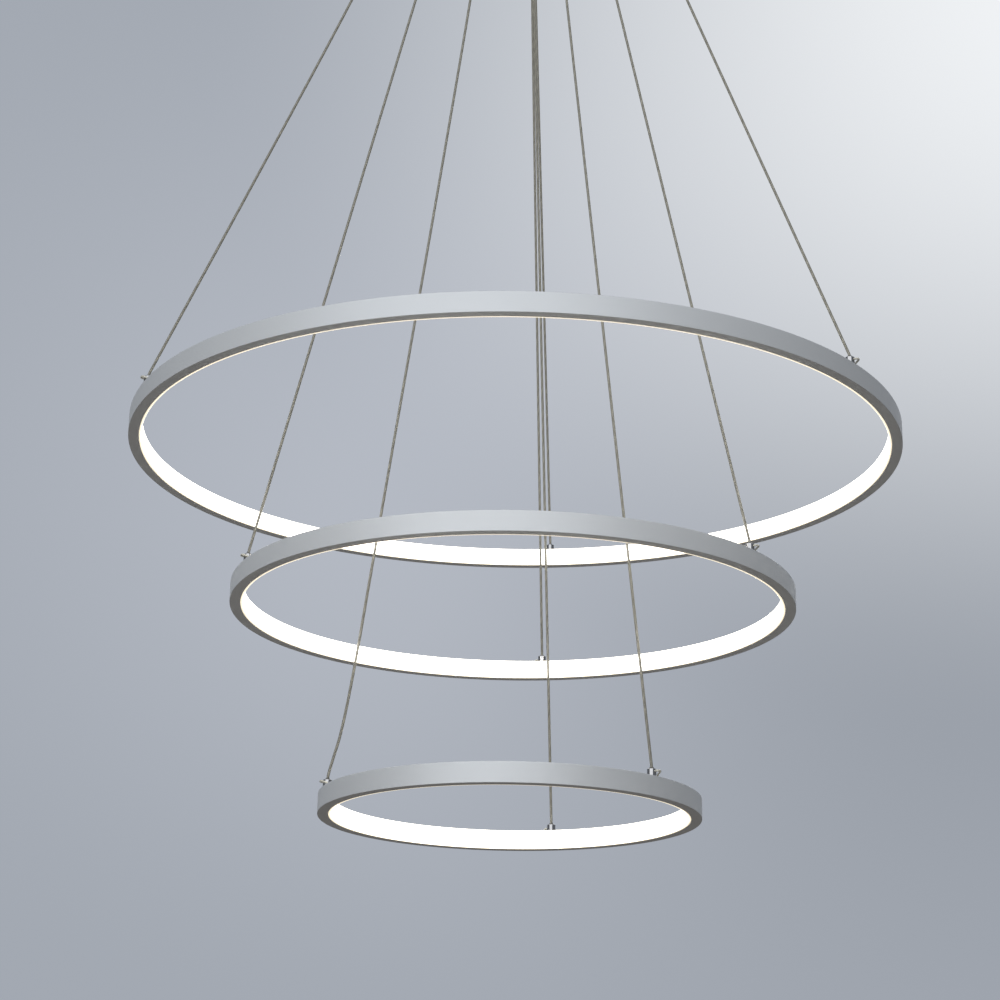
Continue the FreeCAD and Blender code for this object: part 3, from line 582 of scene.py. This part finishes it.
def clear_cable():
    """Two cores twisted together under a clear jacket, with painted shade in the hollows between
    the cores and painted light on their crests.
    """
    look = settings().finishes
    finish = Finish("clear_jacket_over_cores")
    finish.set(Roughness=0.45, IOR=1.12, Transmission_Weight=0.35)
    finish.set(Coat_Weight=0.7, Coat_Roughness=0.12, Coat_IOR=1.48)
    cores = 2.0
    pitch = 26 * MM  # of one core's turn round the other
    around = finish.add("ShaderNodeSeparateXYZ")
    finish.link(finish.coordinates.outputs["UV"], around.inputs[0])
    along = finish.add("ShaderNodeSeparateXYZ")
    finish.link(finish.coordinates.outputs["Object"], along.inputs[0])
    turns = finish.math("MULTIPLY", around.outputs["Y"], cores)
    lay = finish.math("MULTIPLY", along.outputs["Z"], cores / pitch)
    phase = finish.math("MULTIPLY", finish.math("ADD", turns, lay), math.tau)
    crest = finish.math("MULTIPLY_ADD", finish.math("SINE", phase), 0.5)
    crest.node.inputs[2].default_value = 0.5
    # Painted shade in the hollows between the cores and painted light on their crests, following
    # the same twist as the bump.
    finish.colour(finish.mixed(crest, tuple(look.strand_painted_shade), tuple(look.strand_painted_light)))
    finish.bump(crest, 0.08, 0.1 * MM)
    return finish.material


def clear_tail():
    """The same cable where it bends into the ring, its jacket paler at the bend."""
    look = settings().finishes
    finish = Finish("clear_jacket_at_bend").set(Roughness=0.4)
    finish.set(Coat_Weight=0.6, Coat_Roughness=0.15, Coat_IOR=1.48)
    cloud = finish.noise(700.0, detail=2.0)
    finish.colour(finish.mixed(cloud, tinted(look.jacket, 0.9), tinted(look.jacket, 1.15)))
    finish.bump(cloud, 0.15, 0.05 * MM)
    return finish.material


def metal(name, colour, roughness, scale, wear=0.06):
    """Bare or plated metal with a faint mottle and fine scratches."""
    finish = Finish(name).set(Metallic=1.0)
    mottle = finish.noise(scale, detail=4.0)
    finish.colour(finish.mixed(mottle, tinted(colour, 1 - wear), tinted(colour, 1 + wear)))
    rough = finish.spread(finish.noise(scale * 6), roughness * 0.75, roughness * 1.25)
    finish.link(rough, finish.shader.inputs["Roughness"])
    finish.bump(finish.noise(scale * 12, detail=1.0), 0.08, 0.02 * MM)
    return finish.material


def plastic(name, colour, roughness, grain):
    """Moulded plastic or rubber with a fine grain."""
    finish = Finish(name)
    mottle = finish.noise(grain * 0.1, detail=3.0)
    finish.colour(finish.mixed(mottle, tinted(colour, 0.93), tinted(colour, 1.05)))
    rough = finish.spread(finish.noise(grain * 0.4), roughness * 0.85, roughness * 1.15)
    finish.link(rough, finish.shader.inputs["Roughness"])
    finish.bump(finish.noise(grain, detail=2.0), 0.15, 0.05 * MM)
    return finish.material


def made_once(make, *values):
    """The material that a function makes, made the first time that it is asked for."""
    key = values[0] if values else make.__name__
    if key not in made_once.kept:
        made_once.kept[key] = make(*values)
    return made_once.kept[key]


made_once.kept = {}

CHROME = ("polished_chrome", (0.42, 0.425, 0.44), 0.09, 300.0, 0.02)
ZINC = ("zinc_plated_steel", (0.62, 0.63, 0.65), 0.34, 160.0)
SLEEVE = ("grey_sleeve", (0.11, 0.11, 0.11), 0.45, 3000.0)

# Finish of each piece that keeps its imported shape.
PLAIN_FINISHES = {
    "ceiling_plate": (metal, *ZINC),
    "gripper_nuts": (metal, *ZINC),
    "earth_screw": (metal, *ZINC),
    "mains_grommet": (plastic, "grommet_rubber", (0.03, 0.03, 0.03), 0.7, 2500.0),
    "driver_cases": (plastic, "driver_plastic", (0.82, 0.82, 0.80), 0.45, 1800.0),
    "driver_lids": (plastic, "driver_plastic", (0.82, 0.82, 0.80), 0.45, 1800.0),
    "driver_boards": (plastic, "green_board", (0.03, 0.16, 0.06), 0.35, 2500.0),
    "terminal_block": (plastic, "terminal_plastic", (0.74, 0.74, 0.70), 0.4, 1800.0),
    "terminal_screws": (metal, "brass", (0.80, 0.62, 0.30), 0.3, 200.0),
    "mains_leads": (plastic, "lead_jacket", (0.12, 0.06, 0.03), 0.4, 2500.0),
}
for ring_name in RINGS:
    strip = (plastic, "strip_board", (0.85, 0.85, 0.82), 0.4, 2200.0)
    chips = (plastic, "led_phosphor", (0.90, 0.62, 0.12), 0.3, 2600.0)
    PLAIN_FINISHES[f"{ring_name}_led_strip"] = strip
    PLAIN_FINISHES[f"{ring_name}_leds"] = chips
    PLAIN_FINISHES[f"{ring_name}_splice"] = (metal, *ZINC)
    PLAIN_FINISHES[f"{ring_name}_ring_clamp_nuts"] = (metal, *ZINC)


# Where the backdrop's patches are, seen from the light: the direction of each one's middle and
# its spread to the side, in depth and upwards.
PATCHES = {
    "wide": ((0.0, 1.0, 0.15), (1.25, 1.25, 1.25)),
    "haze": ((0.02, 0.95, 0.32), (0.38, 1.0, 0.26)),
    "dusk": ((0.20, 0.947, 0.247), (0.30, 1.0, 0.30)),
    "bright": ((0.26, 0.84, 0.53), (0.40, 1.0, 0.32)),
}

# Places of the soft lamps, and the point that they shine on, in metres.
KEY_PLACE = (-0.75, -3.4, 0.3)
FILL_PLACE = (0.8, 3.2, 1.2)
LAMP_TARGET = Vector((0, 0, -0.95))


# ------------------------------------------------------------------ operators


class PENDANT_OT_camera(bpy.types.Operator):
    """Sets up the camera below the light, looking up at it"""

    bl_idname = "pendant.camera"
    bl_label = "Camera"

    def execute(self, context):
        stage = settings().stage
        data = bpy.data.cameras.new("camera")
        data.sensor_width = 36.0
        data.lens = stage.focal_length
        camera = bpy.data.objects.new("camera", data)
        context.scene.collection.objects.link(camera)
        place = Matrix.Translation((0, -stage.camera_distance, -stage.camera_drop))
        yaw = Matrix.Rotation(-stage.camera_yaw, 4, "Z")
        pitch = Matrix.Rotation(math.pi / 2 + stage.camera_pitch, 4, "X")
        roll = Matrix.Rotation(stage.camera_roll, 4, "Z")
        camera.matrix_world = place @ yaw @ pitch @ roll
        context.scene.camera = camera
        return {"FINISHED"}


class PENDANT_OT_cables(bpy.types.Operator):
    """Makes the nine suspension cables"""

    bl_idname = "pendant.cables"
    bl_label = "Cables"

    def execute(self, context):
        for ring in RINGS:
            for side in SIDES:
                self.cable(ring, side)
        return {"FINISHED"}

    def cable(self, ring, side):
        sizes = settings().fittings
        angle = azimuth(ring, side)
        route = BOWED_ROUTES.get((ring, side), CABLE_ROUTES[ring])
        points = [polar(out * MM, angle, up * MM) for out, up in route]
        curve = bpy.data.curves.new("centreline", "CURVE")
        curve.dimensions = "3D"
        spline = curve.splines.new("NURBS")
        spline.points.add(len(points) - 1)
        for control, point in zip(spline.points, points):
            control.co = (*point, 1.0)
        spline.order_u = 3
        spline.use_endpoint_u = True
        curve.resolution_u = 24
        line = bpy.data.objects.new("centreline", curve)
        bpy.context.scene.collection.objects.link(line)
        centreline = [vertex.co.copy() for vertex in self.read(line).vertices]
        curve.bevel_depth = sizes.cable_diameter / 2
        curve.bevel_resolution = 3
        curve.use_fill_caps = True
        mesh = self.read(line)
        bpy.data.objects.remove(line)
        mesh.shade_smooth()
        mesh.materials.append(made_once(clear_cable))
        node = f"{ring}_{side}_cable"
        piece = new_object(f"{node}_jacket", mesh)
        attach(piece, "canopy")
        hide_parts(node)
        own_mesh(piece)
        length = sum((b - a).length for a, b in zip(centreline, centreline[1:]))

    def read(self, line):
        """The curve's mesh: its line where it has no bevel, or else its tube."""
        graph = bpy.context.evaluated_depsgraph_get()
        return bpy.data.meshes.new_from_object(line.evaluated_get(graph))


class PENDANT_OT_rings(bpy.types.Operator):
    """Makes the rolled aluminium channels"""

    bl_idname = "pendant.rings"
    bl_label = "Rings"

    def execute(self, context):
        for ring in RINGS:
            self.channel(ring)
        return {"FINISHED"}

    def channel(self, ring):
        sizes = settings().rings
        small = settings().fittings
        radius = ring_radius(ring)
        inner = radius - sizes.depth
        back = radius - sizes.wall
        high = sizes.height
        wall = sizes.wall
        edge = sizes.edge_round
        lip = sizes.lip_round
        section = [
            (radius, 0.0, edge), (radius, high, edge), (inner, high, lip),
            (inner, high - wall, lip), (back, high - wall, lip), (back, wall, lip),
            (inner, wall, lip), (inner, 0.0, lip),
        ]
        gap = sizes.seam_gap / radius
        start = seam_azimuth(ring) + gap / 2
        floor = ring_floor(ring)
        steps = round(radius * FACETS_PER_METRE)
        blank = turned_solid(
            section, steps, at((0, 0, floor)), start=start, sweep=math.tau - gap)
        holes = []
        for angle, foot in clamp_places(ring):
            along = polar(small.tail_offset, angle + math.pi / 2)
            holes.append((small.lead_bore, wall * 4, at(foot + along)))
        bm = drilled(blank, holes)
        finished(
            f"{ring}_channel", bm, made_once(satin_paint), f"{ring}_ring",
            [f"{ring}_ring_profile"])


class PENDANT_OT_diffusers(bpy.types.Operator):
    """Makes the lit opal diffusers"""

    bl_idname = "pendant.diffusers"
    bl_label = "Diffusers"

    def execute(self, context):
        for ring in RINGS:
            self.diffuser(ring)
        return {"FINISHED"}

    def diffuser(self, ring):
        sizes = settings().rings
        back = ring_radius(ring) - sizes.depth - sizes.fit
        front = back + sizes.fit - sizes.proud
        tip = back + sizes.fit + sizes.leg
        low = sizes.inset
        high = sizes.height - sizes.inset
        leg_low = sizes.wall + sizes.fit
        leg_high = sizes.height - leg_low
        thick = sizes.leg_wall
        small = sizes.lip_round
        section = [
            (back, low, small), (back, leg_low, 0.0), (tip, leg_low, small),
            (tip, leg_low + thick, small), (back, leg_low + thick, 0.0),
            (back, leg_high - thick, 0.0), (tip, leg_high - thick, small),
            (tip, leg_high, small), (back, leg_high, 0.0), (back, high, small),
            (front, high, sizes.crown), (front, low, sizes.crown),
        ]
        steps = round(ring_radius(ring) * FACETS_PER_METRE)
        bm = turned_solid(section, steps, at((0, 0, ring_floor(ring))))
        finished(
            f"{ring}_diffuser", bm, made_once(opal_glow), f"{ring}_ring",
            [f"{ring}_ring_diffuser"])


class PENDANT_OT_clamps(bpy.types.Operator):
    """Makes the cable clamps and nozzles, and finishes the cable tails"""

    bl_idname = "pendant.clamps"
    bl_label = "Clamps"

    def execute(self, context):
        for ring in RINGS:
            self.clamps(ring)
            self.nozzles(ring)
            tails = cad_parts[f"{ring}_ring_cable_tails"]
            tails.data.materials[0] = made_once(clear_tail)
        return {"FINISHED"}

    def clamps(self, ring):
        sizes = settings().fittings
        radius = sizes.clamp_diameter / 2
        stud = sizes.stud_diameter / 2
        tall = sizes.clamp_height
        bore = sizes.bore / 2
        edge = sizes.clamp_round
        section = [
            (0.0, -sizes.stud_length, 0.0), (stud, -sizes.stud_length, edge / 2),
            (stud, 0.0, 0.0), (radius, 0.0, edge / 4), (radius, tall, edge),
            (bore, tall, edge / 4), (bore, tall - sizes.bore_depth, 0.0),
            (0.0, tall - sizes.bore_depth, 0.0),
        ]
        parts = []
        for angle, foot in clamp_places(ring):
            blank = turned_solid(section, sizes.turned_steps, at(foot))
            depth = sizes.tail_bore_depth * 2
            hole = foot + polar(radius, angle, sizes.tail_height)
            drill = (sizes.lead_bore, depth, at(hole, outward(angle)))
            parts.append(drilled(blank, [drill]))
        finished(
            f"{ring}_clamps", joined(parts), made_once(metal, *CHROME), f"{ring}_ring",
            [f"{ring}_ring_clamps"])

    def nozzles(self, ring):
        sizes = settings().fittings
        outer = sizes.nozzle_diameter / 2
        bore = sizes.bore / 2
        tall = sizes.nozzle_height
        edge = sizes.clamp_round
        section = [
            (bore, 0.0, 0.0), (outer, 0.0, 0.0), (outer, tall, edge * 0.7),
            (bore, tall, edge * 0.3),
        ]
        parts = []
        for _, foot in clamp_places(ring):
            place = at(foot + UP * sizes.clamp_height)
            parts.append(turned_solid(section, sizes.turned_steps, place))
        finished(
            f"{ring}_nozzles", joined(parts), made_once(plastic, *SLEEVE), f"{ring}_ring",
            [f"{ring}_ring_nozzles"])


class PENDANT_OT_canopy(bpy.types.Operator):
    """Makes the canopy's cover and its knurled side screws"""

    bl_idname = "pendant.canopy"
    bl_label = "Canopy"

    def execute(self, context):
        self.cover()
        self.screws()
        return {"FINISHED"}

    def cover(self):
        sizes = settings().canopy
        low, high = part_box("canopy_cover")
        radius = sizes.diameter / 2
        wall = sizes.wall
        section = [
            (0.0, low.z, 0.0), (radius, low.z, sizes.bend), (radius, high.z, wall * 0.3),
            (radius - wall, high.z, wall * 0.3), (radius - wall, low.z + wall, sizes.bend - wall),
            (0.0, low.z + wall, 0.0),
        ]
        bm = turned_solid(section, COVER_FACETS)
        finished(
            "canopy_shell", bm, made_once(satin_paint), "canopy",
            ["canopy_cover"])

    def screws(self):
        sizes = settings().canopy
        angles = [math.radians(angle) for angle in SCREW_AZIMUTHS]
        start = sizes.diameter / 2 + settings().rings.fit - sizes.screw_length
        shank = sizes.screw_shank / 2
        shank_section = [
            (0.0, 0.0, 0.0), (shank, 0.0, 0.0), (shank, sizes.screw_length, 0.0),
            (0.0, sizes.screw_length, 0.0),
        ]
        parts = []
        for angle in angles:
            place = at(polar(start, angle, -sizes.screw_drop), outward(angle))
            parts.append(turned_solid(shank_section, SHANK_FACETS, place))
            parts.append(self.head(place))
        finished(
            "side_screws", joined(parts), made_once(metal, *CHROME), "canopy",
            ["cover_screws"])

    def head(self, place):
        """Knurled head: a toothed disc with its two rims bevelled."""
        sizes = settings().canopy
        head = sizes.screw_head / 2
        tooth = 0.25 * MM
        rim_width = 0.5 * MM
        rim_height = 0.35 * MM
        bm = bmesh.new()
        ring = bmesh.ops.create_circle(
            bm, cap_ends=True, segments=sizes.knurls * 4, radius=head)["verts"]
        for index, vertex in enumerate(ring):
            if index % 4 > 1:
                vertex.co *= (head - tooth) / head
        face = bm.faces[:][0]
        made = bmesh.ops.extrude_face_region(bm, geom=[face])["geom"]
        top = [v for v in made if isinstance(v, bmesh.types.BMVert)]
        bmesh.ops.translate(bm, verts=top, vec=UP * sizes.screw_grip)
        for cap in [f for f in bm.faces if len(f.verts) > 4]:
            bmesh.ops.inset_region(bm, faces=[cap], thickness=rim_width, depth=rim_height)
        bmesh.ops.recalc_face_normals(bm, faces=bm.faces)
        shift = Matrix.Translation(UP * sizes.screw_length)
        bmesh.ops.transform(bm, matrix=place @ shift, verts=bm.verts)
        return bm


class PENDANT_OT_grippers(bpy.types.Operator):
    """Makes the cable grippers and their release plungers"""

    bl_idname = "pendant.grippers"
    bl_label = "Grippers"

    def execute(self, context):
        self.bodies()
        for ring, side, place in gripper_places():
            self.plunger(ring, side, place)
        return {"FINISHED"}

    def bodies(self):
        sizes = settings().canopy
        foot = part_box("gripper_bodies")[0].z
        outer = sizes.gripper_diameter / 2
        stub = sizes.stub_diameter / 2
        chamber = sizes.chamber_diameter / 2
        bore = settings().fittings.bore / 2
        tall = sizes.gripper_drop + sizes.stub_length
        edge = settings().fittings.clamp_round
        section = [
            (chamber, 0.0, edge / 4), (outer, 0.0, edge), (outer, sizes.gripper_drop, edge / 4),
            (stub, sizes.gripper_drop, 0.0), (stub, tall, edge / 2), (bore, tall, 0.0),
            (bore, sizes.chamber_depth, 0.0), (chamber, sizes.chamber_depth, 0.0),
        ]
        steps = settings().fittings.turned_steps
        parts = []
        for ring, side, place in gripper_places():
            parts.append(turned_solid(section, steps, at(place + UP * foot)))
        finished(
            "grippers", joined(parts), made_once(metal, *CHROME), "canopy",
            ["gripper_bodies"])

    def plunger(self, ring, side, place):
        sizes = settings().canopy
        node = f"{ring}_{side}_plunger"
        low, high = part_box(node)
        stem = sizes.plunger_diameter / 2
        collar = sizes.plunger_collar / 2
        thick = sizes.plunger_collar_height
        bore = settings().fittings.bore / 2
        edge = settings().fittings.clamp_round
        section = [
            (bore, 0.0, edge / 2), (collar, 0.0, edge * 0.7), (collar, thick, edge / 3),
            (stem, thick, 0.0), (stem, high.z - low.z, edge / 4), (bore, high.z - low.z, 0.0),
        ]
        steps = settings().fittings.turned_steps
        bm = turned_solid(section, steps, at(place + UP * low.z))
        finished(f"{node}_knob", bm, made_once(metal, *CHROME), node, [node])


class PENDANT_OT_inner_parts(bpy.types.Operator):
    """Finishes the pieces inside the canopy and the channels"""

    bl_idname = "pendant.inner_parts"
    bl_label = "Inner parts"

    def execute(self, context):
        for node, (make, *values) in PLAIN_FINISHES.items():
            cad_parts[node].data.materials[0] = made_once(make, *values)
        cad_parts["feed_leads"].data.materials[0] = made_once(clear_tail)
        return {"FINISHED"}


class PENDANT_OT_stage(bpy.types.Operator):
    """Makes the floor, the backdrop and the soft lights"""

    bl_idname = "pendant.stage"
    bl_label = "Stage"

    def execute(self, context):
        self.floor()
        self.backdrop(context)
        stage = settings().stage
        self.lamp("key", KEY_PLACE, stage.key_size, stage.key_power)
        self.lamp("fill", FILL_PLACE, stage.fill_size, stage.fill_power)
        context.scene.view_settings.view_transform = "Standard"
        return {"FINISHED"}

    def floor(self):
        stage = settings().stage
        bm = bmesh.new()
        bmesh.ops.create_circle(
            bm, cap_ends=True, segments=FLOOR_FACETS, radius=stage.floor_radius,
            matrix=Matrix.Translation((0, 0, -stage.floor_drop)))
        mesh = bpy.data.meshes.new("floor")
        bm.to_mesh(mesh)
        bm.free()
        finish = Finish("pale_floor").set(Roughness=0.8)
        colour = tuple(stage.floor_colour)
        cloud = finish.noise(0.8, detail=3.0)
        plain = finish.mixed(cloud, tinted(colour, 0.98), tinted(colour, 1.02))
        rays = finish.add("ShaderNodeLightPath")
        seen = finish.math("MAXIMUM", rays.outputs["Is Camera Ray"], rays.outputs["Is Glossy Ray"])
        seen = finish.math("MAXIMUM", seen, rays.outputs["Is Transmission Ray"])
        finish.colour(finish.mixed(seen, tuple(stage.floor_bounce), plain))
        mesh.materials.append(finish.material)
        new_object("floor", mesh)

    def backdrop(self, context):
        """The world: a grey-blue backdrop with faint patches and one bright one to whoever
        looks at it directly or in a reflection, and an even light to everything else."""
        stage = settings().stage
        world = bpy.data.worlds.new("soft_room")
        world.use_nodes = True
        tree = world.node_tree
        tree.nodes.clear()
        link = tree.links.new
        wide = self.plateau(tree, self.patch(tree, "wide"))
        colour = self.blend(tree, wide, stage.room, stage.backdrop_dim)
        for name in ("haze", "dusk", "bright"):
            tint = getattr(stage, f"backdrop_{name}")
            colour = self.blend(tree, self.patch(tree, name), colour, tint)
        seen = tree.nodes.new("ShaderNodeBackground")
        link(colour, seen.inputs["Color"])
        even = tree.nodes.new("ShaderNodeBackground")
        even.inputs["Color"].default_value = (*stage.ambient, 1.0)
        even.inputs["Strength"].default_value = stage.ambient_strength
        rays = tree.nodes.new("ShaderNodeLightPath")
        shown = rays.outputs["Is Camera Ray"]
        for kind in ("Is Glossy Ray", "Is Transmission Ray"):
            either = tree.nodes.new("ShaderNodeMath")
            either.operation = "MAXIMUM"
            link(shown, either.inputs[0])
            link(rays.outputs[kind], either.inputs[1])
            shown = either.outputs[0]
        both = tree.nodes.new("ShaderNodeMixShader")
        link(shown, both.inputs["Fac"])
        link(even.outputs[0], both.inputs[1])
        link(seen.outputs[0], both.inputs[2])
        end = tree.nodes.new("ShaderNodeOutputWorld")
        link(both.outputs[0], end.inputs["Surface"])
        context.scene.world = world

    def patch(self, tree, name):
        """A soft oval round a direction: 1 in its middle, 0 beyond its spread."""
        direction, spread = PATCHES[name]
        place = tree.nodes.new("ShaderNodeTexCoord")
        moved = tree.nodes.new("ShaderNodeMapping")
        moved.vector_type = "TEXTURE"
        moved.inputs["Location"].default_value = Vector(direction).normalized()
        moved.inputs["Scale"].default_value = spread
        tree.links.new(place.outputs["Generated"], moved.inputs["Vector"])
        ball = tree.nodes.new("ShaderNodeTexGradient")
        ball.gradient_type = "SPHERICAL"
        tree.links.new(moved.outputs["Vector"], ball.inputs["Vector"])
        ramp = tree.nodes.new("ShaderNodeMapRange")
        ramp.interpolation_type = "SMOOTHSTEP"
        tree.links.new(ball.outputs["Fac"], ramp.inputs["Value"])
        return ramp.outputs["Result"]

    def plateau(self, tree, factor):
        """Widens a patch's middle: the inner half of the patch is at full strength."""
        ramp = tree.nodes.new("ShaderNodeMapRange")
        ramp.interpolation_type = "SMOOTHSTEP"
        ramp.inputs["From Max"].default_value = 0.5
        tree.links.new(factor, ramp.inputs["Value"])
        return ramp.outputs["Result"]

    def blend(self, tree, factor, first, second):
        node = tree.nodes.new("ShaderNodeMix")
        node.data_type = "RGBA"
        tree.links.new(factor, node.inputs["Factor"])
        sockets = [socket for socket in node.inputs if socket.type == "RGBA"]
        for socket, colour in zip(sockets, (first, second)):
            if isinstance(colour, bpy.types.NodeSocket):
                tree.links.new(colour, socket)
            else:
                socket.default_value = (*colour, 1.0)
        return next(socket for socket in node.outputs if socket.type == "RGBA")

    def lamp(self, name, place, size, power):
        """A soft round lamp that shines on the middle of the rings."""
        data = bpy.data.lights.new(name, "AREA")
        data.shape = "DISK"
        data.size = size
        data.energy = power
        lamp = bpy.data.objects.new(name, data)
        bpy.context.scene.collection.objects.link(lamp)
        away = Vector(place) - LAMP_TARGET
        lamp.matrix_world = at(place, away.to_track_quat("Z", "Y").to_matrix().to_4x4())
        lamp.visible_camera = False


OPERATORS = (
    PENDANT_OT_camera,
    PENDANT_OT_cables,
    PENDANT_OT_rings,
    PENDANT_OT_diffusers,
    PENDANT_OT_clamps,
    PENDANT_OT_canopy,
    PENDANT_OT_grippers,
    PENDANT_OT_inner_parts,
    PENDANT_OT_stage,
)


class PENDANT_PT_panel(bpy.types.Panel):
    """Lists the pendant light's pieces and its stage"""

    bl_idname = "PENDANT_PT_panel"
    bl_label = "Ring Pendant"
    bl_space_type = "VIEW_3D"
    bl_region_type = "UI"
    bl_category = "Ring Pendant"

    def draw(self, context):
        for operator in OPERATORS:
            self.layout.operator(operator.bl_idname)
        for group in ("rings", "fittings", "canopy", "finishes", "stage"):
            box = self.layout.box()
            values = getattr(context.scene.ring_pendant, group)
            for name in values.__annotations__:
                box.prop(values, name)


GROUPS = (RingSizes, FittingSizes, CanopySizes, Finishes, StageSettings, PendantSettings)
CLASSES = GROUPS + OPERATORS + (PENDANT_PT_panel,)


def register():
    for item in CLASSES:
        bpy.utils.register_class(item)
    bpy.types.Scene.ring_pendant = PointerProperty(type=PendantSettings)


def unregister():
    del bpy.types.Scene.ring_pendant
    for item in reversed(CLASSES):
        bpy.utils.unregister_class(item)


def main():
    register()
    bpy.ops.pendant.camera()
    bpy.ops.pendant.cables()
    bpy.ops.pendant.rings()
    bpy.ops.pendant.diffusers()
    bpy.ops.pendant.clamps()
    bpy.ops.pendant.canopy()
    bpy.ops.pendant.grippers()
    bpy.ops.pendant.inner_parts()
    bpy.ops.pendant.stage()


if __name__ == "__main__":
    main()
